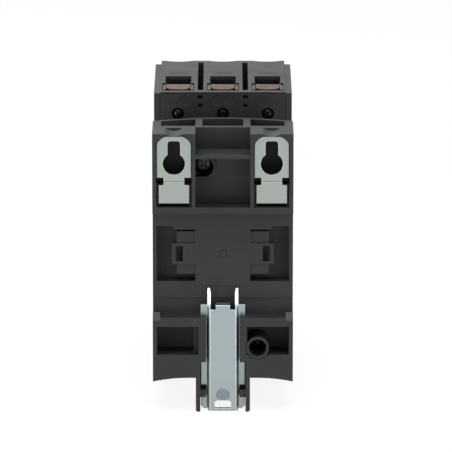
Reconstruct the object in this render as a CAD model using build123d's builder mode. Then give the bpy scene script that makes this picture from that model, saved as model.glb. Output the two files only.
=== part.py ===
from build123d import *
import math
import os

os.makedirs("parts", exist_ok=True)

# Driving dimensions in millimetres
# Depths run forward from the mounting plane, heights run up from the foot
pole_count = 3
pole_pitch = 17.8
outer_wall = 0.6
base_overhang = 0.2
housing_width = pole_count * pole_pitch + 2 * outer_wall
width = housing_width + 2 * base_overhang
poles = [(i - (pole_count - 1) / 2) * -pole_pitch for i in range(pole_count)]

# Clearances
fit_gap = 0.2
thread_gap = 0.05
rest_gap = 0.05

# Rail and rail seat
rail_height = 35.0
rail_thickness = 1.0
seat_depth = 7.0
hook_play = 0.3

# Depths of the main levels
terminal_back = 40.0
waist_front = 62.0
housing_front = 97.0
cover_step = 108.0
cover_front = 120.0

# Heights of the main levels, built up from the magnet outwards
middle = 62.0
rail_line = middle + 2.0
core_half_height = 23.0
cavity_half_height = core_half_height + 3.0
waist_half_height = cavity_half_height + 2.0
bar_turn_level = waist_half_height + 3.2
chamber_half_height = bar_turn_level + 1.8
cage_low = chamber_half_height + 8.8
cage_height = 14.4
cage_high = cage_low + cage_height
terminal_level = (cage_low + cage_high) / 2
top_wall = 1.8
housing_half_height = cage_high + top_wall
panel_top_wall = 0.9
panel_low = cage_low - 0.8
panel_high = housing_half_height - panel_top_wall
base_top = middle + panel_low + 9.4
base_bottom = middle - panel_low - 8.6

# Contacts and magnet
carrier_travel = 6.0
contact_gap = 4.0


def rear(depth):
    """Plane parallel to the mounting plane, with x to the right and height up, extruding forward."""
    return Plane(origin=(0, seat_depth - depth, -rail_line), x_dir=(1, 0, 0), z_dir=(0, -1, 0))


def side(x):
    """Upright plane across the width, with depth to the right and height up."""
    return Plane(origin=(x, seat_depth, -rail_line), x_dir=(0, -1, 0), z_dir=(-1, 0, 0))


def top(height):
    """Level plane, with x to the right and depth up, extruding downward."""
    return Plane(origin=(0, seat_depth, height - rail_line), x_dir=(1, 0, 0), z_dir=(0, 0, -1))


def slab(x_from, x_to, z_from, z_to, near, far, mode=Mode.ADD):
    """Adds or cuts a block between two sides, two heights and two depths."""
    with BuildSketch(rear(near)) as outline:
        with Locations(((x_from + x_to) / 2, (z_from + z_to) / 2)):
            Rectangle(abs(x_to - x_from), abs(z_to - z_from))
    extrude(outline.sketch, amount=far - near, mode=mode)


def block(half_x, half_z, z, near, far, mode=Mode.ADD):
    """Adds or cuts a block that is centred on the width and on one height."""
    slab(-half_x, half_x, z - half_z, z + half_z, near, far, mode)


def round_bar(x, z, radius, near, far, mode=Mode.ADD):
    """Adds or cuts a round bar that runs forward between two depths."""
    with BuildSketch(rear(near)) as outline:
        with Locations((x, z)):
            Circle(radius)
    extrude(outline.sketch, amount=far - near, mode=mode)


def hidden_bar(x, z, radius, near, far, mode=Mode.ADD):
    """Adds or cuts a hidden shank or its hole with twelve flats, which keeps the facets few."""
    with BuildSketch(rear(near)) as outline:
        with Locations((x, z)):
            RegularPolygon(radius=radius, side_count=12)
    extrude(outline.sketch, amount=far - near, mode=mode)


def cross_slot(x, z, length, slot_width, depth_of_slot, near, turn=0):
    """Cuts the crossed driver slots in a screw head; a negative depth cuts backwards from the front."""
    for angle in (turn, turn + 90):
        with BuildSketch(rear(near)) as slot:
            with Locations(Location((x, z), angle)):
                Rectangle(length, slot_width)
        extrude(slot.sketch, amount=depth_of_slot, mode=Mode.SUBTRACT)


def coil_spring(x, depth, height, direction, length, mean_radius, wire, turns):
    """Adds a compression spring that stands on a point and runs along direction, with ten flats to a turn."""
    steps = 10
    rise = (length - wire) / (turns * steps)
    seat = Plane(origin=(x, seat_depth - depth, height - rail_line), z_dir=direction)
    points = [
        (
            mean_radius * math.cos(2 * math.pi * k / steps),
            mean_radius * math.sin(2 * math.pi * k / steps),
            wire / 2 + rise * k,
        )
        for k in range(turns * steps + 1)
    ]
    with BuildLine(seat) as coil:
        Polyline(*points)
    with BuildSketch(Plane(origin=coil.line @ 0, z_dir=coil.line % 0)) as section:
        RegularPolygon(radius=wire / 2, side_count=5)
    sweep(section.sketch, path=coil.line, transition=Transition.RIGHT)


def save(part, name):
    """Labels a finished piece and writes its file."""
    part.label = name
    export_step(part, f"parts/{name}.step")


# Rear base: one moulding that carries the rail seat, the clip guide and the magnet
base_half = width / 2
shelf_depth = 28.3
shelf_sag = 6.0
shelf_radius = (base_half**2 + shelf_sag**2) / (2 * shelf_sag)
step_high = middle + panel_low - 1.4
step_low = middle - panel_low - 2.0
base_front = terminal_back - fit_gap
waist_high = middle + waist_half_height - fit_gap
waist_low = middle - waist_half_height + fit_gap

hook_top = rail_line + rail_height / 2 + fit_gap
lip_bottom = rail_line + rail_height / 2 - 1.1
lip_thickness = 2.5
lip_top = lip_bottom + lip_thickness
lip_inner_depth = seat_depth - rail_thickness - hook_play
seat_relief = 0.3
channel_bottom = rail_line - 25.7
step_height = rail_line - 19.3
step_drop = 0.5
ramp_width = 2.9
ramp_low = channel_bottom - 1.1
ramp_high = channel_bottom + 1.7
ramp_depth = 2.8

cavity_half_width = base_half - 4.5
cavity_back = 15.0
core_lug_half = 6.0

rib_inner = base_half - 16.8
rib_thickness = 1.4
rib_outer = rib_inner + rib_thickness
base_wall = 1.5
bay_outer = base_half - base_wall
bay_seat = 2.4
bay_floor = lip_top
plate_centre = (rib_outer + bay_outer) / 2
plate_half = (bay_outer - rib_outer) / 2 - fit_gap - 0.05
plate_thickness = 1.4
plate_back = bay_seat - plate_thickness - 0.1
plate_top = base_top - 1.2
plate_corner = 2.6
plate_shoulder_round = 2.4
plate_crown_round = 3.4
plate_low = base_top - 17.7
neck_half = 4.05
neck_low = plate_low - 3.0
tab_half = plate_half - 0.8
tab_low = bay_floor + 1.5
keyhole_height = plate_low + 5.5
keyhole_radius = 4.325
keyhole_slot = 4.9
keyhole_slot_top = keyhole_height + 9.1
head_room_half = 5.2
head_room_depth = 8.0
notch_window_half = 1.3
scoop_half = 3.4
scoop_sag = 0.9
scoop_radius = (scoop_half**2 + scoop_sag**2) / (2 * scoop_sag)

pocket_floor = 9.0
shelf_back = 13.2
shelf_rim = 1.4
shelf_floor = base_top - 8.8
shelf_wall = 1.2
shelf_pocket_depth = 8.0
shelf_pocket_half = 8.0
shelf_rib = 2.8
shelf_cheek = 3.3
shelf_front_wall = 1.8

screw_high = (rib_inner - 3.2, middle + cavity_half_height + 9.2)
screw_low = (-13.65, middle - cavity_half_height - 9.9)
well_high = 3.85
well_low = 3.5
boss_rim = 0.9
ring_height = 0.9
boss_groove = 0.4
boss_groove_depth = 0.35
screw_shank = 2.0
screw_head = 3.4
screw_head_height = 2.6
screw_seat = 16.0
screw_end = 50.0

recess_floor = 13.0
recess_side = base_half - 1.5
recess_step = base_half - 8.3
recess_inner = base_half - 16.75
recess_low = rail_line - 12.6
recess_high = rail_line + 9.7
hook_low = rail_line - 5.7
hook_high = rail_line + 2.8
hook_outer = base_half - 7.5
hook_thickness = 2.0
hook_window = 2.8
hook_window_inset = 1.2
pad_low = hook_low - 4.1
pad_high = hook_high + 4.7
pad_drop = 0.6
pad_reach = recess_step - 1.1
gate_radius = 1.6
gate_line = 0.25
gate_depth = 0.2

clip_half_width = 8.7
clip_web_half = 6.0
clip_sheet = 1.2
clip_back = 0.4
clip_depth = 4.9
clip_travel = 5.5
clip_clearance = 2.8
prong_top = rail_line - rail_height / 2 + clip_travel - clip_clearance
guide_half = clip_half_width + fit_gap
guide_slot_half = clip_web_half + 0.6
guide_near = clip_back + clip_depth - clip_sheet - fit_gap
guide_far = clip_back + clip_depth + fit_gap
prong_relief = 0.3
strip_bottom = base_bottom + 7.9
foot_wall = 1.75
foot_half_width = guide_half + foot_wall
foot_depth = 8.0
foot_web_bottom = 9.0
foot_round = 0.9
bump_top = 8.5
bump_bottom = 5.7
bump_back = 0.9
arch_start = foot_half_width + 3.0
arch_rise = 1.5
spring_seat_top = 28.0
spring_seat_thickness = 2.0
spring_seat_half = 1.6
low_pocket_top = channel_bottom - 3.6
low_pocket_bottom = low_pocket_top - 11.5
low_pocket_inner = guide_half + 0.6
low_pocket_outer = base_half - 1.6
low_pocket_floor = 12.0
low_ledge = 2.0
low_ledge_depth = 5.0
low_notch = 4.0
low_notch_height = 2.8
low_notch_floor = low_pocket_floor + 2.0

with BuildPart() as rear_base:
    with BuildSketch(side(0)):
        with BuildLine():
            Polyline(
                (0, base_bottom),
                (shelf_depth, base_bottom),
                (shelf_depth, step_low),
                (base_front, step_low),
                (base_front, waist_low),
                (waist_front, waist_low),
                (waist_front, waist_high),
                (base_front, waist_high),
                (base_front, step_high),
                (shelf_depth, step_high),
                (shelf_depth, base_top),
                (0, base_top),
                close=True,
            )
        make_face()
    extrude(amount=base_half, both=True)
    # Front edge of the top shelf, bowed forward in the middle
    with BuildSketch(top(base_top)):
        with Locations((0, shelf_depth)):
            Rectangle(width + 2, 2 * shelf_sag)
        with Locations((0, shelf_depth - shelf_radius)):
            Circle(shelf_radius, mode=Mode.SUBTRACT)
    extrude(amount=base_top - step_high, mode=Mode.SUBTRACT)
    # Arched lower edge
    with BuildSketch(rear(0)):
        with BuildLine():
            arch_top = base_bottom + arch_rise
            Line((-arch_start, arch_top), (arch_start, arch_top))
            TangentArc((arch_start, arch_top), (base_half, base_bottom), tangent=(1, 0))
            Line((base_half, base_bottom), (-base_half, base_bottom))
            TangentArc((-arch_start, arch_top), (-base_half, base_bottom), tangent=(-1, 0))
        make_face()
    extrude(amount=shelf_depth, mode=Mode.SUBTRACT)
    # Three pockets in the top shelf
    pocket_end = base_half - shelf_cheek
    pocket_rib = shelf_pocket_half + shelf_rib
    pocket_back = shelf_back + boss_rim
    for x_from, x_to in (
        (-pocket_end, -pocket_rib),
        (-shelf_pocket_half, shelf_pocket_half),
        (pocket_rib, pocket_end),
    ):
        with BuildSketch(top(base_top)):
            with Locations(((x_from + x_to) / 2, shelf_depth)):
                Rectangle(x_to - x_from, 2 * (shelf_depth - pocket_back))
            with Locations((0, shelf_depth - shelf_radius)):
                Circle(shelf_radius - shelf_front_wall, mode=Mode.INTERSECT)
        extrude(amount=shelf_pocket_depth, mode=Mode.SUBTRACT)
    # Open bay over the upper rib and the deep bay under it
    bay_front = shelf_back - shelf_rim
    slab(-rib_inner, rib_inner, shelf_floor, base_top + 1, 0, bay_front, Mode.SUBTRACT)
    slab(-rib_inner, rib_inner, lip_top, shelf_floor - shelf_wall, 0, pocket_floor, Mode.SUBTRACT)
    # Rail channel with the hook groove above and the lower step
    with BuildSketch(side(0)):
        with BuildLine():
            Polyline(
                (0, channel_bottom),
                (seat_depth + step_drop, channel_bottom),
                (seat_depth + step_drop, step_height),
                (seat_depth, step_height),
                (seat_depth, lip_bottom - fit_gap),
                (seat_depth + seat_relief, lip_bottom - fit_gap),
                (seat_depth + seat_relief, hook_top),
                (lip_inner_depth, hook_top),
                (lip_inner_depth, lip_bottom),
                (0, lip_bottom),
                close=True,
            )
        make_face()
    extrude(amount=base_half, both=True, mode=Mode.SUBTRACT)
    # Ramps at both ends of the lower edge, for the rail to ride up on
    for s in (-1, 1):
        ramp_inner = base_half - ramp_width
        x_from, x_to = s * (base_half + 1), s * ramp_inner
        slab(x_from, x_to, ramp_low, channel_bottom + 0.1, 0, ramp_depth, Mode.SUBTRACT)
        with BuildSketch(side(s * base_half)) as ramp:
            with BuildLine():
                Polyline(
                    (0, ramp_low),
                    (ramp_depth, ramp_high),
                    (seat_depth + step_drop + 0.1, channel_bottom),
                    (seat_depth + step_drop + 0.1, ramp_low - 0.1),
                    (0, ramp_low - 0.1),
                    close=True,
                )
            make_face()
        extrude(ramp.sketch, amount=s * ramp_width)
    # Plate bays, with room for a screw head behind each keyhole
    for s in (-1, 1):
        bay_half = plate_half + fit_gap + 0.05
        shoulder = plate_top - plate_corner + fit_gap
        crown = plate_half - plate_corner + fit_gap
        with BuildSketch(rear(0)) as bay:
            with BuildLine(Location((s * plate_centre, 0))):
                Polyline(
                    (-bay_half, bay_floor),
                    (bay_half, bay_floor),
                    (bay_half, shoulder),
                    (crown, plate_top + fit_gap),
                    (-crown, plate_top + fit_gap),
                    (-bay_half, shoulder),
                    close=True,
                )
            make_face()
        extrude(bay.sketch, amount=bay_seat, mode=Mode.SUBTRACT)
        room_from = s * (plate_centre - head_room_half)
        room_to = s * (plate_centre + head_room_half)
        room_top = plate_top - 1.2
        room_front = bay_seat + head_room_depth
        slab(room_from, room_to, plate_low + 0.3, room_top, bay_seat, room_front, Mode.SUBTRACT)
        for e in (-1, 1):
            window = s * plate_centre + e * (plate_half - 1.1)
            window_from, window_to = window - notch_window_half, window + notch_window_half
            window_low, window_high = neck_low + fit_gap, plate_low - fit_gap
            slab(window_from, window_to, window_low, window_high, bay_seat, bay_seat + 3, Mode.SUBTRACT)
        slot_from, slot_to = s * (plate_centre - tab_half), s * (plate_centre + tab_half)
        slab(slot_from, slot_to, bay_floor, tab_low - fit_gap, bay_seat, bay_seat + 3, Mode.SUBTRACT)
        # Thumb scoop in the rear edge over the plate
        with BuildSketch(rear(0)) as scoop:
            with Locations((s * plate_centre, base_top - scoop_sag + scoop_radius)):
                Circle(scoop_radius)
        extrude(scoop.sketch, amount=bay_front - shelf_rim, mode=Mode.SUBTRACT)
    # Recesses, hook tabs and pads in the rail seat
    for s in (-1, 1):
        slab(
            s * recess_step,
            s * recess_side,
            recess_low,
            recess_high,
            seat_depth,
            recess_floor,
            Mode.SUBTRACT,
        )
        slab(
            s * recess_inner,
            s * (recess_step + 0.05),
            recess_low,
            recess_high - 1.4,
            seat_depth,
            recess_floor,
            Mode.SUBTRACT,
        )
        hook_front = seat_depth + hook_thickness
        slab(s * (recess_inner - 0.1), s * hook_outer, hook_low, hook_high, seat_depth, hook_front)
        window_outer = hook_outer - 1.5
        slab(
            s * (window_outer - hook_window),
            s * window_outer,
            hook_low + hook_window_inset,
            hook_high - hook_window_inset,
            seat_depth,
            hook_front,
            Mode.SUBTRACT,
        )
        for z_from, z_to in ((hook_high - 0.05, pad_high), (pad_low, hook_low + 0.05)):
            pad_back_face = seat_depth + pad_drop
            slab(s * (recess_inner - 0.1), s * pad_reach, z_from, z_to, pad_back_face, recess_floor + 0.1)
    # Gate mark in the middle of the rail seat, a thin ring round a bead
    with BuildSketch(rear(seat_depth)) as gate:
        with Locations((0, middle + 0.6)):
            Circle(gate_radius)
            Circle(gate_radius - gate_line, mode=Mode.SUBTRACT)
            Circle(gate_line)
    extrude(gate.sketch, amount=gate_depth, mode=Mode.SUBTRACT)
    # Lower pockets beside the clip guide, with a ledge along the inner wall of the left one
    for s in (-1, 1):
        ledge = low_ledge if s > 0 else 0
        deep_from, deep_to = s * (low_pocket_inner + ledge), s * low_pocket_outer
        slab(deep_from, deep_to, low_pocket_bottom, low_pocket_top, 0, low_pocket_floor, Mode.SUBTRACT)
        notch_from = s * (low_pocket_outer - low_notch)
        notch_bottom = low_pocket_top - low_notch_height
        slab(
            notch_from,
            deep_to,
            notch_bottom,
            low_pocket_top,
            low_pocket_floor,
            low_notch_floor,
            Mode.SUBTRACT,
        )
    ledge_to = low_pocket_inner + low_ledge + 0.05
    slab(low_pocket_inner, ledge_to, low_pocket_bottom, low_pocket_top, 0, low_ledge_depth, Mode.SUBTRACT)
    # Housing screw wells, the upper one D-shaped against the rib
    x_high, z_high = screw_high
    ring_back = pocket_floor - ring_height
    ring = well_high + boss_rim
    round_bar(x_high, z_high, ring, ring_back, pocket_floor + 1)
    slab(x_high, rib_inner, z_high - ring, z_high + ring, ring_back, pocket_floor + 1)
    round_bar(x_high, z_high, well_high, ring_back, screw_seat, Mode.SUBTRACT)
    slab(x_high, rib_inner, z_high - well_high, z_high + well_high, ring_back, screw_seat - 4, Mode.SUBTRACT)
    hidden_bar(x_high, z_high, screw_shank + fit_gap, screw_seat, base_front, Mode.SUBTRACT)
    groove_edge = well_low + boss_rim + boss_groove
    round_bar(*screw_low, groove_edge, 0, boss_groove_depth, Mode.SUBTRACT)
    round_bar(*screw_low, well_low + boss_rim, 0, low_pocket_floor + 0.5)
    round_bar(*screw_low, well_low, 0, screw_seat, Mode.SUBTRACT)
    hidden_bar(*screw_low, screw_shank + fit_gap, screw_seat, base_front, Mode.SUBTRACT)
    # Foot and clip guide
    with BuildSketch(rear(0)) as foot:
        with Locations((0, (base_bottom + 2) / 2)):
            Rectangle(2 * foot_half_width, base_bottom + 2)
        fillet(foot.vertices().group_by(Axis.Y)[0], radius=foot_round)
    extrude(foot.sketch, amount=foot_depth)
    slab(-guide_half, guide_half, 0, foot_web_bottom, 0, foot_depth, Mode.SUBTRACT)
    slab(-guide_half, guide_half, 0, channel_bottom, guide_near, guide_far, Mode.SUBTRACT)
    slab(-guide_slot_half, guide_slot_half, 0, channel_bottom, 0, guide_near, Mode.SUBTRACT)
    slab(-guide_half, guide_half, 0, strip_bottom, 0, guide_near, Mode.SUBTRACT)
    for s in (-1, 1):
        slab(s * guide_slot_half, s * guide_half, bump_bottom, bump_top, bump_back, guide_near)
    # Shallow way for the prongs in the seat
    way_top = prong_top + fit_gap + 0.2
    relief_far = seat_depth + prong_relief
    slab(-guide_slot_half, guide_slot_half, channel_bottom, way_top, seat_depth, relief_far, Mode.SUBTRACT)
    # Seat of the clip spring
    spring_seat_bottom = spring_seat_top - spring_seat_thickness
    spring_seat_back = clip_back + clip_sheet + hook_play
    slab(
        -spring_seat_half,
        spring_seat_half,
        spring_seat_bottom,
        spring_seat_top,
        spring_seat_back,
        guide_far + 0.1,
    )
    # Magnet cavity, open to the front, with lugs that locate the fixed core
    block(cavity_half_width, cavity_half_height, middle, cavity_back, waist_front, Mode.SUBTRACT)
    for s in (-1, 1):
        lug_from = middle + s * (cavity_half_height + 0.1)
        lug_to = middle + s * (core_half_height + 0.1)
        slab(-core_lug_half, core_lug_half, lug_from, lug_to, cavity_back - 0.1, 2 * cavity_back)
save(rear_base.part, "rear_base")

# Mounting plates: zinc-plated steel with a keyhole, a narrow neck and a bent lower tab
neck_notch = 0.25

with BuildPart() as mounting_plate:
    with BuildSketch(rear(plate_back)) as blank:
        with BuildLine():
            Polyline(
                (-tab_half, tab_low),
                (tab_half, tab_low),
                (tab_half, neck_low),
                (neck_half, neck_low),
                (neck_half, plate_low),
                (plate_half, plate_low),
                (plate_half, plate_top - plate_corner),
                (plate_half - plate_corner, plate_top),
                (plate_corner - plate_half, plate_top),
                (-plate_half, plate_top - plate_corner),
                (-plate_half, plate_low),
                (-neck_half, plate_low),
                (-neck_half, neck_low),
                (-tab_half, neck_low),
                close=True,
            )
        make_face()
        fillet(blank.vertices().group_by(Axis.Y)[-2], radius=plate_shoulder_round)
        fillet(blank.vertices().group_by(Axis.Y)[-1], radius=plate_crown_round)
        with Locations((0, keyhole_height)):
            Circle(keyhole_radius, mode=Mode.SUBTRACT)
        with Locations((0, (keyhole_height + keyhole_slot_top) / 2)):
            RectangleRounded(keyhole_slot, keyhole_slot_top - keyhole_height, 1.2, mode=Mode.SUBTRACT)
    extrude(amount=plate_thickness)
    # Crease of the bend at the neck
    crease = (neck_low + plate_low) / 2
    block(neck_half, neck_notch / 2, crease, plate_back, plate_back + 0.3, Mode.SUBTRACT)
save(mounting_plate.part.moved(Location((plate_centre, 0, 0))), "mounting_plate_left")
save(mounting_plate.part.moved(Location((-plate_centre, 0, 0))), "mounting_plate_right")

# Rail clip: folded hat-section strip with two prongs behind the rail, a spring tab and a pull slot
clip_bottom = 0.3
web_top = channel_bottom + 3.2
wing_top = channel_bottom + 4.4
tab_top = channel_bottom + 5.0
spring_tab_half = 2.8
bend_radius = clip_sheet / 2 + 0.3
brim_line = clip_back + clip_depth - clip_sheet / 2
web_line = clip_back + clip_sheet / 2
wall_line = clip_web_half - clip_sheet / 2
wall_inner = clip_web_half - clip_sheet
pull_slot_half = 3.25
pull_slot_bottom = clip_bottom + 1.15
pull_slot_top = clip_bottom + 3.8
dimple_height = 9.2
dimple_radius = 2.55
dimple_run = dimple_height - dimple_radius - pull_slot_bottom - 0.5
dimple_slope = 0.28
brim_notch_low = 5.5
brim_notch_high = 9.9
ramp_tip = clip_back + clip_depth - 0.5

with BuildPart() as rail_clip:
    with BuildSketch(top(prong_top)):
        with BuildLine() as strip:
            FilletPolyline(
                (-clip_half_width, brim_line),
                (-wall_line, brim_line),
                (-wall_line, web_line),
                (wall_line, web_line),
                (wall_line, brim_line),
                (clip_half_width, brim_line),
                radius=bend_radius,
            )
        trace(line_width=clip_sheet)
    extrude(amount=prong_top - clip_bottom)
    # Upper end: web and wings cut down, the walls stay as prongs
    past = clip_depth + 3
    slab(-wall_inner, wall_inner, tab_top, prong_top, 0, past, Mode.SUBTRACT)
    for s in (-1, 1):
        slab(s * spring_tab_half, s * wall_inner, web_top, tab_top, 0, past, Mode.SUBTRACT)
        slab(s * clip_web_half, s * (clip_half_width + 1), wing_top, prong_top, 0, past, Mode.SUBTRACT)
        slab(
            s * (clip_web_half + 0.6),
            s * (clip_half_width + 1),
            brim_notch_low,
            brim_notch_high,
            0,
            past,
            Mode.SUBTRACT,
        )
        # Ramp along the prong, which the rail rides up on as it snaps in
        with BuildSketch(side(s * (clip_web_half + 1))) as prong:
            with BuildLine():
                Polyline(
                    (0, tab_top - clip_sheet / 2),
                    (clip_back + clip_sheet, tab_top - clip_sheet / 2),
                    (ramp_tip, prong_top + 0.1),
                    (0, prong_top + 0.1),
                    close=True,
                )
            make_face()
        extrude(prong.sketch, amount=s * (clip_web_half + 1 - wall_inner + 0.1), mode=Mode.SUBTRACT)
    # Spring tab bent forward
    slab(-spring_tab_half, spring_tab_half, tab_top - clip_sheet, tab_top, clip_back, clip_back + clip_depth)
    # Pull slot with the dished half-round above it
    tongue_front = clip_back + 2 * clip_sheet + 0.4
    with BuildSketch(rear(clip_back + clip_sheet / 2)) as tongue:
        with Locations((0, dimple_height - dimple_radius)):
            Circle(dimple_radius + clip_sheet / 2)
        with Locations((0, (pull_slot_top + dimple_height - dimple_radius) / 2)):
            tongue_height = dimple_height - dimple_radius - pull_slot_top
            Rectangle(2 * dimple_radius + clip_sheet, tongue_height)
    extrude(tongue.sketch, amount=tongue_front - clip_back - clip_sheet / 2)
    through = tongue_front + 0.1
    slab(-pull_slot_half, pull_slot_half, pull_slot_bottom, pull_slot_top, 0, through, Mode.SUBTRACT)
    dimple_top = (0, seat_depth - clip_back, dimple_height - rail_line)
    with BuildSketch(Plane(origin=dimple_top, x_dir=(1, 0, 0), z_dir=(0, 1, -dimple_slope))) as dimple:
        with Locations((0, dimple_radius)):
            Circle(dimple_radius)
        with Locations((0, dimple_radius + dimple_run / 2)):
            Rectangle(2 * dimple_radius, dimple_run)
    extrude(dimple.sketch, amount=2, mode=Mode.SUBTRACT)
    # Lower corners of the brims, cut off at a slant
    brim_ends = rail_clip.edges().filter_by(Axis.Y).group_by(Axis.Z)[0]
    chamfer(brim_ends.group_by(Axis.X)[0] + brim_ends.group_by(Axis.X)[-1], length=1.2)
save(rail_clip.part, "rail_clip")

clip_spring_radius = 1.3
clip_spring_wire = 0.6
clip_spring_turns = 7
clip_spring_depth = clip_back + clip_sheet + clip_spring_radius + clip_spring_wire

with BuildPart() as clip_spring:
    coil_spring(
        0,
        clip_spring_depth,
        spring_seat_top + rest_gap,
        (0, 0, 1),
        tab_top - clip_sheet - spring_seat_top - 2 * rest_gap,
        clip_spring_radius,
        clip_spring_wire,
        clip_spring_turns,
    )
save(clip_spring.part, "clip_spring")

# Housing screws from the rear, one high and one low
with BuildPart() as housing_screws:
    for x, z in (screw_high, screw_low):
        round_bar(x, z, screw_head, screw_seat - screw_head_height, screw_seat)
        hidden_bar(x, z, screw_shank, screw_seat, screw_end)
        cross_slot(x, z, 4.0, 0.9, 1.4, screw_seat - screw_head_height, turn=45)
save(housing_screws.part, "housing_screws")

# Terminals: the same set above and below the middle, for every pole
cage_half_width = pole_pitch / 2 - 2.8
cage_wall = 1.2
cage_back = 44.9
cage_front = 72.4
cage_front_wall = 3.0
cage_ear_back = cage_back + 2.1
cage_ear_front = cage_ear_back + 8.5
panel_thickness = 2.4
panel_half_width = housing_width / 2 - 2.5
panel_hole = 2.5
panel_boss_half = 4.0
panel_head = 2.2
panel_head_height = 1.7
panel_shank = 1.35
panel_screw_seat = terminal_back + panel_thickness + 0.8
panel_screw_back = panel_screw_seat - panel_head_height
latch_half = 1.0
latch_low = 6.3
latch_high = 7.7
ejector_radius = 1.95
ejector_level = terminal_level + 5.6
ejector_offset = 2.5
opening_half = cage_half_width - 0.95
opening_back = terminal_back + panel_thickness + fit_gap
opening_front = cage_front - cage_front_wall - 0.9
notch_half = cage_half_width + fit_gap
notch_front = 56.2
bar_half_width = cage_half_width - cage_wall - fit_gap
bar_thickness = 2.5
bar_line = 56.2
bar_lip_end = cage_back + 0.3
bar_lip_level = cage_high + 0.5
bar_lip_round = 3.4
contact_line = 65.95
contact_end = 11.0
tip_level = 15.0
tip_half_width = bar_half_width - 1.5
tip_half_height = 3.0
tip_thickness = 1.3
bridge_tip_thickness = 1.2
fixed_face = contact_line + bar_thickness / 2 + tip_thickness
screw_well = 4.6
clamp_screw_radius = 3.0
clamp_head_radius = 4.3
clamp_head_height = 5.0
clamp_screw_front = housing_front - 4.0
clamp_slot_length = 2 * clamp_head_radius - 2.4
clamp_travel = 9.6
pad_rest_gap = 0.35
pad_back = bar_line + bar_thickness / 2 + clamp_travel + pad_rest_gap
pad_thickness = 1.8
pad_half_width = bar_half_width - 0.1
pad_half_height = 6.6
neck_radius = 1.8


def bar_route(half_width, thickness, lip_end, route_end):
    """Adds the terminal bar's folded strip, from its lip to the fixed contact."""
    with BuildSketch(side(0)) as fold:
        with BuildLine() as route:
            FilletPolyline(
                (lip_end, middle + bar_lip_level),
                (bar_line, middle + bar_lip_level),
                (bar_line, middle + bar_turn_level),
                (contact_line, middle + bar_turn_level),
                (contact_line, middle + route_end),
                radius=bar_thickness,
            )
        trace(line_width=thickness)
    extrude(fold.sketch, amount=half_width, both=True)


with BuildPart() as terminal_bar:
    bar_route(bar_half_width, bar_thickness, bar_lip_end, contact_end)
    lip_ends = terminal_bar.edges().filter_by(Axis.Z).group_by(Axis.Y)[-1]
    fillet(lip_ends, radius=bar_lip_round)
    bar_face = contact_line + bar_thickness / 2
    block(tip_half_width, tip_half_height, middle + tip_level, bar_face, fixed_face)

with BuildPart() as bar_channel:
    channel_start = bar_line - 2 * bar_thickness
    bar_route(bar_half_width + fit_gap, bar_thickness + 2 * fit_gap, channel_start, contact_end - 1)

with BuildPart() as terminal_cage:
    cage_from, cage_to = middle + cage_low, middle + cage_high
    slab(-cage_half_width, cage_half_width, cage_from, cage_to, cage_back, cage_front)
    inside = cage_half_width - cage_wall
    inside_back, inside_front = cage_back + cage_wall, cage_front - cage_front_wall
    slab(-inside, inside, cage_from, cage_to, inside_back, inside_front, Mode.SUBTRACT)
    for s in (-1, 1):
        ear_top = cage_to + cage_wall
        slab(s * cage_half_width, s * inside, cage_to, ear_top, cage_ear_back, cage_ear_front)
    z = middle + terminal_level
    thread = clamp_screw_radius + thread_gap
    round_bar(0, z, thread, inside_front - 1, cage_front + 1, Mode.SUBTRACT)
    hidden_bar(0, z, panel_shank + thread_gap, cage_back - 1, inside_back + 1, Mode.SUBTRACT)
    # Notch for the lip of the bar in the back wall
    notch = bar_half_width + fit_gap
    slab(-notch, notch, cage_to - 1.1, cage_to + 1, cage_back, inside_back, Mode.SUBTRACT)
    cage_corners = terminal_cage.edges().filter_by(Axis.Z).group_by(SortBy.LENGTH)[-1]
    chamfer(cage_corners, length=0.5)

with BuildPart() as clamp_pad:
    z = middle + terminal_level
    block(pad_half_width, pad_half_height, z, pad_back, pad_back + pad_thickness)
    round_bar(0, z, neck_radius + thread_gap, pad_back - 1, pad_back + 3, Mode.SUBTRACT)

with BuildPart() as clamp_screw:
    z = middle + terminal_level
    neck_end = pad_back + pad_thickness + rest_gap
    clamp_head_back = clamp_screw_front - clamp_head_height
    hidden_bar(0, z, neck_radius, pad_back + 0.2, neck_end)
    hidden_bar(0, z, clamp_screw_radius, neck_end, clamp_head_back)
    round_bar(0, z, clamp_head_radius, clamp_head_back, clamp_screw_front)
    cross_slot(0, z, clamp_slot_length, 1.3, -2.4, clamp_screw_front)

level_plane = Plane(origin=(0, 0, middle - rail_line), z_dir=(0, 0, 1))
for i, x in enumerate(poles, start=1):
    for name, upper in (("line", True), ("load", False)):
        for label, piece in (
            (f"{name}_bar_{i}", terminal_bar.part),
            (f"{name}_cage_{i}", terminal_cage.part),
            (f"{name}_pad_{i}", clamp_pad.part),
            (f"{name}_screw_{i}", clamp_screw.part),
        ):
            placed = piece.moved(Location((x, 0, 0)))
            save(placed if upper else mirror(placed, about=level_plane), label)

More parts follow.
